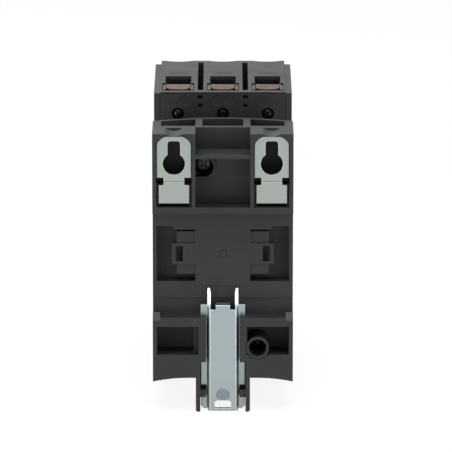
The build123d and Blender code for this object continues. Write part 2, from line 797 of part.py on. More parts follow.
# Terminal back panels, screwed to the cages, with two latch windows and the ejector marks
with BuildPart() as back_panel:
    panel_from, panel_to = middle + panel_low, middle + panel_high
    panel_front = terminal_back + panel_thickness
    z = middle + terminal_level
    slab(-panel_half_width, panel_half_width, panel_from, panel_to, terminal_back, panel_front)
    for x in poles:
        slab(
            x - panel_boss_half,
            x + panel_boss_half,
            z - panel_boss_half,
            z + panel_boss_half,
            panel_front,
            cage_back - fit_gap,
        )
        round_bar(x, z, panel_hole, terminal_back, panel_screw_seat, Mode.SUBTRACT)
        hidden_bar(x, z, panel_shank + fit_gap, panel_screw_seat, cage_back, Mode.SUBTRACT)
    for s in (-1, 1):
        x = s * pole_pitch / 2
        for half, z_from, z_to in (
            (latch_half, z + latch_low, z + latch_high),
            (latch_half - 0.15, z + latch_low - 3.6, z + latch_high - 3.5),
        ):
            slab(x - half, x + half, z_from, z_to, terminal_back, cage_back, Mode.SUBTRACT)
    for x in poles[:2]:
        for e in (-1, 1):
            mark_x = (x - ejector_offset) * e
            mark_z = middle + ejector_level
            with BuildSketch(rear(terminal_back)) as mark:
                with Locations((mark_x, mark_z)):
                    RegularPolygon(radius=ejector_radius, side_count=24)
            extrude(mark.sketch, amount=0.15, mode=Mode.SUBTRACT)
save(back_panel.part, "upper_back_panel")
save(mirror(back_panel.part, about=level_plane), "lower_back_panel")

with BuildPart() as panel_screws:
    for x in poles:
        z = middle + terminal_level
        round_bar(x, z, panel_head, panel_screw_back, panel_screw_seat)
        hidden_bar(x, z, panel_shank, panel_screw_seat, cage_back + cage_wall)
        cross_slot(x, z, 2.6, 0.6, 0.9, panel_screw_back, turn=45)
save(panel_screws.part, "upper_panel_screws")
save(mirror(panel_screws.part, about=level_plane), "lower_panel_screws")

# Pole housing: one moulding with three arc chambers and six terminal cavities
housing_half_width = housing_width / 2
above = housing_half_height + 1.0
chamber_half = pole_pitch / 2 - 1.9
chamber_back = 64.5
carrier_half = 6.0
carrier_back_half = housing_half_width - 4.7
crosshead_half_width = housing_half_width - 3.0
lead_half = 0.4
lead_x = pole_pitch / 2
nose_half_height = 22.0
lead_low = middle + nose_half_height - 1.0
lead_high = lead_low + 3.5
lead_room = 0.3
slot_half = 1.1
slot_bottom = cage_low - 1.8
slot_back = 43.5
slot_front = 93.5
scallop_half = 5.75
scallop_depth = 1.7
scallop_radius = (scallop_half**2 + scallop_depth**2) / (2 * scallop_depth)
scallop_reach = 24.0
strip_inner = housing_half_width - 2.4
strip_low = cage_low - 6.8
strip_back = housing_front - 4.5
strip_drop = 0.5
groove_half = 3.9
groove_back = 71.7
groove_front = 76.1
groove_sag = 1.2
groove_width = 0.5
groove_depth = 0.3

with BuildPart() as pole_housing:
    with BuildSketch(side(0)):
        with BuildLine():
            Polyline(
                (terminal_back, middle - housing_half_height),
                (housing_front, middle - housing_half_height),
                (housing_front, middle + housing_half_height),
                (terminal_back, middle + housing_half_height),
                (terminal_back, middle + waist_half_height),
                (waist_front, middle + waist_half_height),
                (waist_front, middle - waist_half_height),
                (terminal_back, middle - waist_half_height),
                close=True,
            )
        make_face()
    extrude(amount=housing_half_width, both=True)
    long_edges = pole_housing.edges().filter_by(Axis.Y)
    outer_edges = long_edges.group_by(Axis.Z)[0] + long_edges.group_by(Axis.Z)[-1]
    chamfer(outer_edges, length=0.4)
    for x in poles:
        x_from, x_to = x - chamber_half, x + chamber_half
        z_from, z_to = middle - chamber_half_height, middle + chamber_half_height
        slab(x_from, x_to, z_from, z_to, chamber_back, housing_front, Mode.SUBTRACT)
    # Slide way of the contact carrier
    block(
        crosshead_half_width + fit_gap,
        carrier_half + fit_gap,
        middle,
        waist_front,
        housing_front,
        Mode.SUBTRACT,
    )
    # Terminals, above and below
    for e in (-1, 1):
        beyond = middle + e * above
        room = panel_half_width + fit_gap
        z_from, z_to = middle + e * (panel_low - fit_gap), middle + e * (panel_high + fit_gap)
        slab(-room, room, z_from, z_to, terminal_back, panel_front, Mode.SUBTRACT)
        for x in poles:
            room = cage_half_width + fit_gap
            z_from, z_to = middle + e * (cage_low - fit_gap), middle + e * (cage_high + fit_gap)
            slab(x - room, x + room, z_from, z_to, terminal_back, cage_front + 0.6, Mode.SUBTRACT)
            z_from = middle + e * cage_high
            for half, front in ((opening_half, opening_front), (notch_half, notch_front)):
                slab(x - half, x + half, z_from, beyond, opening_back, front, Mode.SUBTRACT)
            round_bar(x, middle + e * terminal_level, screw_well, cage_front, housing_front, Mode.SUBTRACT)
            channel = bar_channel.part.moved(Location((x, 0, 0)))
            add(channel if e > 0 else mirror(channel, about=level_plane), mode=Mode.SUBTRACT)
            # Finger scallop in the front edge
            with BuildSketch(top(beyond)) as scallop:
                with Locations((x, housing_front + scallop_radius - scallop_depth)):
                    Circle(scallop_radius)
            extrude(scallop.sketch, amount=e * scallop_reach, mode=Mode.SUBTRACT)
            # Two bowed grooves in front of the wire opening
            with BuildSketch(top(middle + e * housing_half_height)) as grooves:
                for near, sag in ((groove_back, groove_sag), (groove_front, -groove_sag)):
                    with BuildLine():
                        Polyline(
                            (x - groove_half, near),
                            (x - groove_half / 2, near + 0.75 * sag),
                            (x, near + sag),
                            (x + groove_half / 2, near + 0.75 * sag),
                            (x + groove_half, near),
                        )
                        offset(amount=groove_width / 2, kind=Kind.INTERSECTION)
                    make_face()
            extrude(grooves.sketch, amount=e * groove_depth, mode=Mode.SUBTRACT)
        # Ventilation slots between the poles, and the lower strips along both sides
        for s in (-1, 1):
            x_from, x_to = s * pole_pitch / 2 - slot_half, s * pole_pitch / 2 + slot_half
            slab(x_from, x_to, middle + e * slot_bottom, beyond, slot_back, slot_front, Mode.SUBTRACT)
            x_from, x_to = s * strip_inner, s * (housing_half_width + 1)
            slab(x_from, x_to, middle + e * strip_low, beyond, strip_back, housing_front, Mode.SUBTRACT)
            z_from = middle + e * (housing_half_height - strip_drop)
            slab(x_from, x_to, z_from, beyond, terminal_back, strip_back + 1, Mode.SUBTRACT)
    for s in (-1, 1):
        x_from, x_to = s * lead_x - lead_half - lead_room, s * lead_x + lead_half + lead_room
        z_from, z_to = lead_low - lead_room, lead_high + lead_room
        slab(x_from, x_to, z_from, z_to, waist_front, housing_front, Mode.SUBTRACT)
    for x, z in (screw_high, screw_low):
        hidden_bar(x, z, screw_shank + thread_gap, terminal_back, screw_end + 1, Mode.SUBTRACT)
save(pole_housing.part, "pole_housing")

# Arc splitters: steel plates at both ends of every chamber
splitter_count = 4
splitter_pitch = 5.0
splitter_back = chamber_back + 9.5
splitter_inner = tip_level + 5.5
splitter_outer = chamber_half_height - 0.3

with BuildPart() as arc_splitters:
    for x in poles:
        for e in (-1, 1):
            for k in range(splitter_count):
                near = splitter_back + splitter_pitch * k
                x_from, x_to = x - chamber_half + fit_gap, x + chamber_half - fit_gap
                slab(x_from, x_to, middle + e * splitter_inner, middle + e * splitter_outer, near, near + 1)
save(arc_splitters.part, "arc_splitters")

# Magnet: fixed core with shading rings, cushion, coil and moving armature
core_back = cavity_back + 1.5
yoke = 7.0
pole_face = 39.5
leg = 7.0
centre_leg_half = 6.0
stack_half = 8.0
armature_rest = carrier_travel + rest_gap
armature_leg = 8.0
armature_yoke = 6.0
armature_tip = pole_face + armature_rest
armature_front = armature_tip + armature_leg + armature_yoke
ring_wire = 1.2
ring_gap = 0.1
ring_slot_half = 0.65
ring_back = pole_face - 2.5
ring_front = pole_face - 0.3


def e_profile(yoke_from, yoke_to, face):
    """Adds the three-legged outline of a core half, from its yoke to its pole faces."""
    with BuildSketch(side(0)) as outline:
        with BuildLine():
            Polyline(
                (yoke_from, middle - core_half_height),
                (face, middle - core_half_height),
                (face, middle - core_half_height + leg),
                (yoke_to, middle - core_half_height + leg),
                (yoke_to, middle - centre_leg_half),
                (face, middle - centre_leg_half),
                (face, middle + centre_leg_half),
                (yoke_to, middle + centre_leg_half),
                (yoke_to, middle + core_half_height - leg),
                (face, middle + core_half_height - leg),
                (face, middle + core_half_height),
                (yoke_from, middle + core_half_height),
                close=True,
            )
        make_face()
    extrude(outline.sketch, amount=stack_half, both=True)


with BuildPart() as fixed_core:
    e_profile(core_back, core_back + yoke, pole_face)
    for e in (-1, 1):
        cut = middle + e * (core_half_height - leg / 2)
        block(stack_half, ring_slot_half, cut, ring_back - ring_gap, pole_face, Mode.SUBTRACT)
save(fixed_core.part, "fixed_core")

with BuildPart() as shading_rings:
    for e in (-1, 1):
        ring_middle = core_half_height - leg / 2
        side_in = stack_half + ring_gap
        side_out = side_in + ring_wire
        z_from = middle + e * (ring_middle - ring_wire / 2)
        z_to = middle + e * (core_half_height + ring_gap + ring_wire)
        slab(-side_out, side_out, z_from, z_to, ring_back, ring_front)
        z_from = middle + e * (ring_middle + ring_wire / 2)
        z_to = middle + e * (core_half_height + ring_gap)
        slab(-side_in, side_in, z_from, z_to, ring_back, ring_front, Mode.SUBTRACT)
save(shading_rings.part, "shading_rings")

with BuildPart() as core_cushion:
    block(stack_half - 1, core_half_height - 6, middle, cavity_back, core_back)
save(core_cushion.part, "core_cushion")

bobbin_back = core_back + yoke + fit_gap
bobbin_front = 45.0
flange = 1.5
flange_half_height = core_half_height - leg - 0.3
flange_half_width = 17.0
tube_wall = 1.0
tube_x = stack_half + fit_gap + tube_wall
tube_z = centre_leg_half + fit_gap + tube_wall
winding_half_height = flange_half_height - 1.1
winding_half_width = flange_half_width - 1.2
spring_ledge = 4.0
lead_post_front = 49.0

with BuildPart() as coil_bobbin:
    for near in (bobbin_back, bobbin_front - flange):
        block(flange_half_width, flange_half_height, middle, near, near + flange)
    block(cavity_half_width - 0.3, spring_ledge, middle, bobbin_front - flange, bobbin_front)
    block(tube_x, tube_z, middle, bobbin_back, bobbin_front)
    block(tube_x - tube_wall, tube_z - tube_wall, middle, bobbin_back, bobbin_front, Mode.SUBTRACT)
    for s in (-1, 1):
        x_from, x_to = s * (lead_x - 0.6), s * (lead_x + 1.7)
        z_from, z_to = middle + flange_half_height - 2.6, middle + flange_half_height - 0.1
        slab(x_from, x_to, z_from, z_to, bobbin_front, lead_post_front)
save(coil_bobbin.part, "coil_bobbin")

with BuildPart() as coil_winding:
    with BuildSketch(rear(bobbin_back + flange)):
        with Locations((0, middle)):
            RectangleRounded(2 * winding_half_width, 2 * winding_half_height, 4)
            Rectangle(2 * tube_x, 2 * tube_z, mode=Mode.SUBTRACT)
    extrude(amount=bobbin_front - bobbin_back - 2 * flange)
save(coil_winding.part, "coil_winding")

pin_radius = 1.5
pin_half_length = stack_half + 3.2
pin_depth = armature_front - armature_yoke / 2

with BuildPart() as armature:
    e_profile(armature_front, armature_front - armature_yoke, armature_tip)
    with BuildSketch(side(0)) as pin_hole:
        with Locations((pin_depth, middle)):
            Circle(pin_radius + thread_gap)
    extrude(pin_hole.sketch, amount=stack_half + 1, both=True, mode=Mode.SUBTRACT)
save(armature.part, "armature")

with BuildPart() as armature_pin:
    with BuildSketch(side(0)):
        with Locations((pin_depth, middle)):
            Circle(pin_radius)
    extrude(amount=pin_half_length, both=True)
save(armature_pin.part, "armature_pin")

# Contact carrier: crosshead with three contact windows, a foot for the armature and a nose
foot_back = armature_front + 0.1
crosshead_back = chamber_back + carrier_travel + fit_gap
lug_inner = stack_half + 0.3
lug_outer = lug_inner + 3.0
bridge_thickness = 2.0
bridge_half_width = bar_half_width - 0.1
bridge_half_length = tip_level + 3.0
bridge_back = fixed_face + contact_gap + bridge_tip_thickness
window_half = bridge_half_width + 0.4
window_back = bridge_back - fit_gap
window_front = bridge_back + bridge_thickness + 13.0
crosshead_front = window_front + 2.3
nose_front = 100.0
carrier_nose_half = 6.0
indicator_half = 4.0

with BuildPart() as contact_carrier:
    block(carrier_back_half, carrier_half, middle, foot_back, crosshead_back)
    block(crosshead_half_width, carrier_half, middle, crosshead_back, crosshead_front)
    for x in poles:
        x_from, x_to = x - window_half, x + window_half
        z_from, z_to = middle - carrier_half - 1, middle + carrier_half + 1
        slab(x_from, x_to, z_from, z_to, window_back, window_front, Mode.SUBTRACT)
    for s in (-1, 1):
        slab(s * lug_inner, s * lug_outer, middle - 5, middle + 5, pin_depth - 3.5, foot_back)
    with BuildSketch(side(0)) as pin_hole:
        with Locations((pin_depth, middle)):
            Circle(pin_radius + thread_gap)
    extrude(pin_hole.sketch, amount=lug_outer + 1, both=True, mode=Mode.SUBTRACT)
    block(carrier_nose_half, carrier_half - 2, middle, crosshead_front, nose_front)
save(contact_carrier.part, "contact_carrier")

with BuildPart() as position_indicator:
    block(indicator_half, indicator_half + 1, middle, nose_front, cover_front - 1.6)
    chamfer(position_indicator.edges().filter_by(Axis.Z).group_by(Axis.Y)[0], length=0.6)
save(position_indicator.part, "position_indicator")

contact_spring_radius = bridge_half_width - 1.4
contact_spring_wire = 1.0
contact_spring_turns = 4

for i, x in enumerate(poles, start=1):
    bridge_front = bridge_back + bridge_thickness
    with BuildPart() as contact_bridge:
        x_from, x_to = x - bridge_half_width, x + bridge_half_width
        z_from, z_to = middle - bridge_half_length, middle + bridge_half_length
        slab(x_from, x_to, z_from, z_to, bridge_back, bridge_front)
        for e in (-1, 1):
            x_from, x_to = x - tip_half_width, x + tip_half_width
            tip = middle + e * tip_level
            z_from, z_to = tip - tip_half_height, tip + tip_half_height
            slab(x_from, x_to, z_from, z_to, bridge_back - bridge_tip_thickness, bridge_back)
    save(contact_bridge.part, f"contact_bridge_{i}")
    with BuildPart() as contact_spring:
        coil_spring(
            x,
            bridge_front + rest_gap,
            middle,
            (0, -1, 0),
            window_front - bridge_front - 2 * rest_gap,
            contact_spring_radius,
            contact_spring_wire,
            contact_spring_turns,
        )
    save(contact_spring.part, f"contact_spring_{i}")

return_spring_x = cavity_half_width - 3.1
return_spring_radius = 2.2
return_spring_wire = 0.8
return_spring_turns = 5

with BuildPart() as return_springs:
    for s in (-1, 1):
        coil_spring(
            s * return_spring_x,
            bobbin_front + rest_gap,
            middle,
            (0, -1, 0),
            foot_back - bobbin_front - 2 * rest_gap,
            return_spring_radius,
            return_spring_wire,
            return_spring_turns,
        )
save(return_springs.part, "return_springs")

# Front cover: stepped nose with the indicator window and the coil terminals
cover_wall = 2.0
cover_half_height = cage_low - 6.8
cover_round = 1.5
nose_half_width = housing_half_width - 4.8
frame_half_width = 9.0
frame_half_height = 10.0
window_gap = 0.4
latch_x = nose_half_width - 7.0
latch_z = nose_half_height - 10.0
latch_half_width = 2.5
latch_half_height = 2.0
coil_x = housing_half_width - 11.3
coil_z = middle + nose_half_height + 4.4
coil_plate_back = 99.3
coil_plate_thickness = 1.3
coil_well_front = coil_plate_back + 6.7
coil_screw_radius = 1.75
coil_screw_head = 3.3
coil_screw_head_height = 2.05
coil_clamp_travel = 2.3
coil_clamp_half = 3.9
coil_clamp_thickness = 1.1
pocket_inner = coil_x - 4.3
pocket_outer = coil_x + 4.4
pocket_bottom = middle + nose_half_height - 1.0
plate_left = lead_x - lead_half
plate_right = pocket_outer - fit_gap
plate_top_edge = coil_z + 3.6

with BuildPart() as front_cover:
    block(housing_half_width, cover_half_height, middle, housing_front, cover_step)
    fillet(front_cover.edges().group_by(Axis.Y)[0], radius=cover_round)
    block(nose_half_width, nose_half_height, middle, cover_step, cover_front)
    fillet(front_cover.edges().group_by(Axis.Y)[0], radius=cover_round)
    for half_width, half_height, front in (
        (housing_half_width, cover_half_height, cover_step),
        (nose_half_width, nose_half_height, cover_front),
    ):
        inner_x, inner_z = half_width - cover_wall, half_height - cover_wall
        block(inner_x, inner_z, middle, housing_front, front - cover_wall, Mode.SUBTRACT)
    # Indicator window in a shallow frame, and four latch openings for add-on blocks
    block(frame_half_width, frame_half_height, middle, cover_front - 0.8, cover_front, Mode.SUBTRACT)
    window_x, window_z = indicator_half + window_gap, indicator_half + 1 + window_gap
    block(window_x, window_z, middle, cover_front - cover_wall, cover_front, Mode.SUBTRACT)
    for s in (-1, 1):
        for e in (-1, 1):
            slab(
                s * latch_x - latch_half_width,
                s * latch_x + latch_half_width,
                middle + e * latch_z - latch_half_height,
                middle + e * latch_z + latch_half_height,
                cover_front - cover_wall - 1,
                cover_front,
                Mode.SUBTRACT,
            )
        # Coil terminal pocket, entered by the wire from above and by the screwdriver from the front
        cover_top = middle + cover_half_height
        plate_front = coil_plate_back + coil_plate_thickness
        x_from, x_to = s * (pocket_inner - 1), s * (pocket_outer + 1)
        slab(x_from, x_to, pocket_bottom - 1, cover_top, housing_front, cover_step - 0.5)
        x_from, x_to = s * pocket_inner, s * pocket_outer
        pocket_back = coil_plate_back - 0.1
        slab(x_from, x_to, pocket_bottom, cover_top + 1, pocket_back, coil_well_front, Mode.SUBTRACT)
        slab(
            s * (lead_x - 1.0),
            s * (pocket_inner + 0.3),
            lead_low - lead_room,
            plate_top_edge + fit_gap,
            housing_front,
            plate_front + fit_gap,
            Mode.SUBTRACT,
        )
        x, z = s * coil_x, coil_z
        round_bar(x, z, coil_screw_radius + fit_gap, housing_front, coil_plate_back, Mode.SUBTRACT)
        round_bar(x, z, coil_screw_head + 0.5, coil_well_front, cover_step + 1, Mode.SUBTRACT)
save(front_cover.part, "front_cover")

# Coil terminals: brass plates whose leads run back to the bobbin
lead_foot_depth = bobbin_front + 1.0
lead_foot_height = middle + flange_half_height

with BuildPart() as coil_terminals:
    for s in (-1, 1):
        slab(s * plate_left, s * plate_right, lead_low, plate_top_edge, coil_plate_back, plate_front)
        round_bar(
            s * coil_x,
            coil_z,
            coil_screw_radius + thread_gap,
            coil_plate_back - 1,
            plate_front + 1,
            Mode.SUBTRACT,
        )
        with BuildSketch(side(s * lead_x)) as lead:
            with BuildLine():
                Polyline(
                    (plate_front, lead_low),
                    (plate_front, lead_high),
                    (lead_foot_depth, lead_high),
                    (lead_foot_depth, lead_foot_height),
                    (lead_foot_depth + 2.6, lead_foot_height),
                    (lead_foot_depth + 2.6, lead_low),
                    close=True,
                )
            make_face()
        extrude(lead.sketch, amount=lead_half, both=True)
save(coil_terminals.part, "coil_terminals")

for s, hand in ((1, "left"), (-1, "right")):
    washer_back = plate_front + 2 * rest_gap + coil_clamp_travel
    washer_front = washer_back + coil_clamp_thickness
    head_back = washer_front + rest_gap
    head_front = head_back + coil_screw_head_height
    x_from, x_to = s * coil_x - coil_clamp_half, s * coil_x + coil_clamp_half
    z_from, z_to = coil_z - coil_clamp_half, coil_z + coil_clamp_half
    with BuildPart() as coil_clamp:
        slab(x_from, x_to, z_from, z_to, washer_back, washer_front)
        hole = coil_screw_radius + thread_gap
        round_bar(s * coil_x, coil_z, hole, washer_back, washer_front, Mode.SUBTRACT)
    save(coil_clamp.part, f"coil_clamp_{hand}")
    with BuildPart() as coil_screw:
        hidden_bar(s * coil_x, coil_z, coil_screw_radius, coil_plate_back + 0.1, head_back)
        round_bar(s * coil_x, coil_z, coil_screw_head, head_back, head_front)
        with BuildSketch(rear(head_front)) as slot:
            with Locations((s * coil_x, coil_z)):
                Rectangle(5.0, 0.9)
        extrude(slot.sketch, amount=-1.1, mode=Mode.SUBTRACT)
    save(coil_screw.part, f"coil_screw_{hand}")
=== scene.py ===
import math

import bmesh
import bpy
from mathutils import Matrix, Vector


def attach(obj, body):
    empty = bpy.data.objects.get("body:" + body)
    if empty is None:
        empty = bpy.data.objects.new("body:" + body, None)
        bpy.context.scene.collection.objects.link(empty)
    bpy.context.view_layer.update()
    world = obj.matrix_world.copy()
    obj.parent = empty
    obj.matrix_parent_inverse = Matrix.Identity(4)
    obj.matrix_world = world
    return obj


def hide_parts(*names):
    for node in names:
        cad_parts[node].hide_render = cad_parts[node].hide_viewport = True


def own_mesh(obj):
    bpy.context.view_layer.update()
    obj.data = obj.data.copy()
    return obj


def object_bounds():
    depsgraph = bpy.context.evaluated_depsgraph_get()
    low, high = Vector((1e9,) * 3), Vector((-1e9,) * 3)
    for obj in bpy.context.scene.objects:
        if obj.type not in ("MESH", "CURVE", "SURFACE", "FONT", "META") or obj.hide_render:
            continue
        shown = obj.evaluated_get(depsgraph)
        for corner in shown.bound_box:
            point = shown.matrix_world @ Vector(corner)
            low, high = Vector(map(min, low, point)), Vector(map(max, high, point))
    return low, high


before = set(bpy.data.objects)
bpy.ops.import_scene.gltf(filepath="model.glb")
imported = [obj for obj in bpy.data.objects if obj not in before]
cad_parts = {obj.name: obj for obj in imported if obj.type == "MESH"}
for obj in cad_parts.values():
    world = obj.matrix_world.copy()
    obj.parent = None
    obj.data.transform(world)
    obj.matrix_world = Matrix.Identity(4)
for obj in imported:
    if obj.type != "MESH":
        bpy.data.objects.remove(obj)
cad_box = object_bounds()


# Rear base and pole housing. They are injection moulded from dark grey glass-filled polyamide in moulds that
# were spark eroded, which leaves a fine even grain. Upright faces look nearly black, level ones turn grey
# at a low angle, and every edge carries a thin light line because no mould is quite sharp.
MM = 0.001  # a millimetre in the frame's metres
ORIGIN_DEPTH, ORIGIN_HEIGHT = 7.0, 64.0  # the frame's origin in mm, from the back face and from the foot


def at(x, depth, height):
    """The point that lies x across, depth into the object and height above its foot, from mm to the frame."""
    return Vector((x, ORIGIN_DEPTH - depth, height - ORIGIN_HEIGHT)) * MM


def linear(hex_colour):
    """Linear RGBA of an sRGB hex colour."""
    channels = [int(hex_colour[i : i + 2], 16) / 255 for i in (1, 3, 5)]
    return [c / 12.92 if c <= 0.04045 else ((c + 0.055) / 1.055) ** 2.4 for c in channels] + [1.0]


def add_node(tree, kind, inputs=None, **settings):
    """Adds a node with its settings, and gives each input a value, a link or another node's first output."""
    made = tree.nodes.new(kind)
    for name, value in settings.items():
        setattr(made, name, value)
    for socket, value in (inputs or {}).items():
        if isinstance(value, bpy.types.Node):
            value = value.outputs[0]
        if isinstance(value, bpy.types.NodeSocket):
            tree.links.new(value, made.inputs[socket])
        else:
            made.inputs[socket].default_value = value
    return made


def moulded_plastic(name, light, dark, roughness, grain, depth, edge, shine=0.3):
    """A moulded plastic: two tones in soft flow clouds, eroded grain and rounded edges, with sizes in mm."""
    cloud_size, polish_drift = 11, 0.05
    material = bpy.data.materials.new(name)
    material.use_nodes = True
    tree = material.node_tree
    shader = tree.nodes["Principled BSDF"]
    place = add_node(tree, "ShaderNodeTexCoord").outputs["Object"]
    flow = {"Vector": place, "Scale": 1 / (cloud_size * MM), "Detail": 3.0}
    clouds = add_node(tree, "ShaderNodeTexNoise", flow).outputs["Fac"]
    spread = {"Value": clouds, "From Min": 0.3, "From Max": 0.7}
    share = add_node(tree, "ShaderNodeMapRange", spread).outputs["Result"]
    two = {"Factor": share, "A": linear(dark), "B": linear(light)}
    tone = add_node(tree, "ShaderNodeMix", two, data_type="RGBA").outputs["Result"]
    spread.update({"To Min": roughness - polish_drift, "To Max": roughness + polish_drift})
    polish = add_node(tree, "ShaderNodeMapRange", spread).outputs["Result"]
    pits = {"Vector": place, "Scale": 1 / (grain * MM), "Detail": 2.0, "Roughness": 0.6}
    pitted = add_node(tree, "ShaderNodeTexNoise", pits).outputs["Fac"]
    edges = add_node(tree, "ShaderNodeBevel", {"Radius": edge * MM}, samples=6).outputs["Normal"]
    relief = {"Height": pitted, "Distance": depth * MM, "Strength": 0.6, "Normal": edges}
    bump = add_node(tree, "ShaderNodeBump", relief).outputs["Normal"]
    tree.links.new(tone, shader.inputs["Base Color"])
    tree.links.new(polish, shader.inputs["Roughness"])
    tree.links.new(bump, shader.inputs["Normal"])
    shader.inputs["IOR"].default_value = 1.5
    shader.inputs["Specular IOR Level"].default_value = shine
    return material


def dress(material, *names):
    """Gives CAD nodes a material."""
    for name in names:
        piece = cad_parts[name]
        piece.data.materials.clear()
        piece.data.materials.append(material)


polyamide = moulded_plastic(
    "spark_eroded_polyamide", "#1f2021", "#191a1b", roughness=0.55, grain=0.45, depth=0.02, edge=0.25
)
dress(polyamide, "rear_base", "pole_housing")

# Gate mark. The plastic went in through a gate at the middle of the rail seat, and a faint ring of paler
# flow lines is left round it, 9.8 mm across.
gate, ring_radius, ring_half_width = at(0.0, 0.0, 64.0), 4.9 * MM, 0.35 * MM
moulding = polyamide.node_tree
spot = add_node(moulding, "ShaderNodeTexCoord").outputs["Object"]
from_gate = add_node(moulding, "ShaderNodeVectorMath", {0: spot, 1: gate}, operation="DISTANCE")
on_ring = add_node(
    moulding,
    "ShaderNodeMath",
    {0: from_gate.outputs["Value"], 1: ring_radius, 2: ring_half_width},
    operation="COMPARE",
).outputs[0]
shader = moulding.nodes["Principled BSDF"]
flow_tone = shader.inputs["Base Color"].links[0].from_socket
ringed = add_node(
    moulding,
    "ShaderNodeMix",
    {"Factor": on_ring, "A": flow_tone, "B": linear("#303132")},
    data_type="RGBA",
).outputs["Result"]
moulding.links.new(ringed, shader.inputs["Base Color"])

# Back panels of the terminals. Two flat covers from the same polyamide, moulded apart and screwed on, so
# they are a shade darker and a little smoother than the housing round them.
panel_plastic = moulded_plastic(
    "panel_polyamide", "#1e1f20", "#1a1b1c", roughness=0.5, grain=0.4, depth=0.012, edge=0.2
)
dress(panel_plastic, "upper_back_panel", "lower_back_panel")

# Front cover. It is snapped over the poles, moulded in a finer grade of the same dark grey plastic, with
# the softly polished face that a hand meets.
cover_plastic = moulded_plastic(
    "front_cover_polyamide", "#242526", "#1e1f20", roughness=0.45, grain=0.35, depth=0.01, edge=0.35
)
dress(cover_plastic, "front_cover")

# Contact carrier and position indicator. The carrier is black moulded polyester that stands the heat of
# the contacts, and the indicator on its nose is pale grey polyamide so that it shows in the window.
carrier_plastic = moulded_plastic(
    "black_moulded_polyester", "#1a1a1b", "#141415", roughness=0.5, grain=0.3, depth=0.01, edge=0.2
)
dress(carrier_plastic, "contact_carrier")
indicator_plastic = moulded_plastic(
    "pale_grey_polyamide", "#d3d3cf", "#c8c8c4", roughness=0.4, grain=0.3, depth=0.006, edge=0.2, shine=0.5
)
dress(indicator_plastic, "position_indicator")

# Coil bobbin and cushion. The bobbin is natural polyamide, cream and slightly waxy, and the cushion under
# the core is black rubber that takes the knock when the magnet closes.
bobbin_plastic = moulded_plastic(
    "natural_polyamide", "#d9d4c2", "#cdc7b2", roughness=0.38, grain=0.3, depth=0.006, edge=0.2, shine=0.5
)
dress(bobbin_plastic, "coil_bobbin")
cushion_rubber = moulded_plastic(
    "black_rubber_sheet", "#1d1d1d", "#151515", roughness=0.75, grain=0.5, depth=0.02, edge=0.2
)
dress(cushion_rubber, "core_cushion")


# Mounting plates, rail clip, cages and coil clamps. They are stamped and folded from steel strip and zinc
# plated with a clear passivation: a smooth satin grey with a faint green and blue cast, whose folds catch
# the light as bright lines, and whose rolling marks run along the strip.
def plated_metal(name, light, dark, roughness, bloom, lines, edge, sheets=0.0):
    """A satin metal: a bloom of tone and polish, rolling lines and the sheets of a stack, sizes in mm."""
    polish_drift = 0.03
    material = bpy.data.materials.new(name)
    material.use_nodes = True
    tree = material.node_tree
    shader = tree.nodes["Principled BSDF"]
    place = add_node(tree, "ShaderNodeTexCoord").outputs["Object"]
    drift = {"Vector": place, "Scale": 1 / (bloom * MM), "Detail": 2.0, "Roughness": 0.5}
    clouds = add_node(tree, "ShaderNodeTexNoise", drift).outputs["Fac"]
    spread = {"Value": clouds, "From Min": 0.3, "From Max": 0.7}
    share = add_node(tree, "ShaderNodeMapRange", spread).outputs["Result"]
    two = {"Factor": share, "A": linear(dark), "B": linear(light)}
    tone = add_node(tree, "ShaderNodeMix", two, data_type="RGBA").outputs["Result"]
    spread.update({"To Min": roughness + polish_drift, "To Max": roughness - polish_drift})
    polish = add_node(tree, "ShaderNodeMapRange", spread).outputs["Result"]
    # The rolling lines lie a sixth of a millimetre apart and run for 2 mm along the strip.
    stretched = {"Vector": place, "Scale": (6 / MM, 6 / MM, 0.5 / MM)}
    strip = {"Vector": add_node(tree, "ShaderNodeMapping", stretched), "Scale": 1.0, "Detail": 2.0}
    rolled = add_node(tree, "ShaderNodeTexNoise", strip).outputs["Fac"]
    edges = add_node(tree, "ShaderNodeBevel", {"Radius": edge * MM}, samples=6).outputs["Normal"]
    relief = {"Height": rolled, "Distance": 0.004 * MM, "Strength": lines, "Normal": edges}
    bump = add_node(tree, "ShaderNodeBump", relief).outputs["Normal"]
    if sheets:
        # A wave texture repeats each pi / 10 along the scaled coordinate, so each sheet gets one band.
        stack = {"Vector": place, "Scale": math.pi / (10 * sheets * MM), "Distortion": 0.0}
        seams = add_node(tree, "ShaderNodeTexWave", stack, bands_direction="X").outputs["Fac"]
        relief = {"Height": seams, "Distance": 0.12 * MM, "Strength": 0.9, "Normal": bump}
        bump = add_node(tree, "ShaderNodeBump", relief).outputs["Normal"]
    tree.links.new(tone, shader.inputs["Base Color"])
    tree.links.new(polish, shader.inputs["Roughness"])
    tree.links.new(bump, shader.inputs["Normal"])
    shader.inputs["Metallic"].default_value = 1.0
    return material


zinc_plate = plated_metal(
    "zinc_plated_strip_steel", "#9ca3a6", "#9aa097", roughness=0.38, bloom=22.0, lines=0.3, edge=0.35
)
dress(zinc_plate, "mounting_plate_left", "mounting_plate_right", "arc_splitters")
dress(zinc_plate, "coil_clamp_left", "coil_clamp_right")

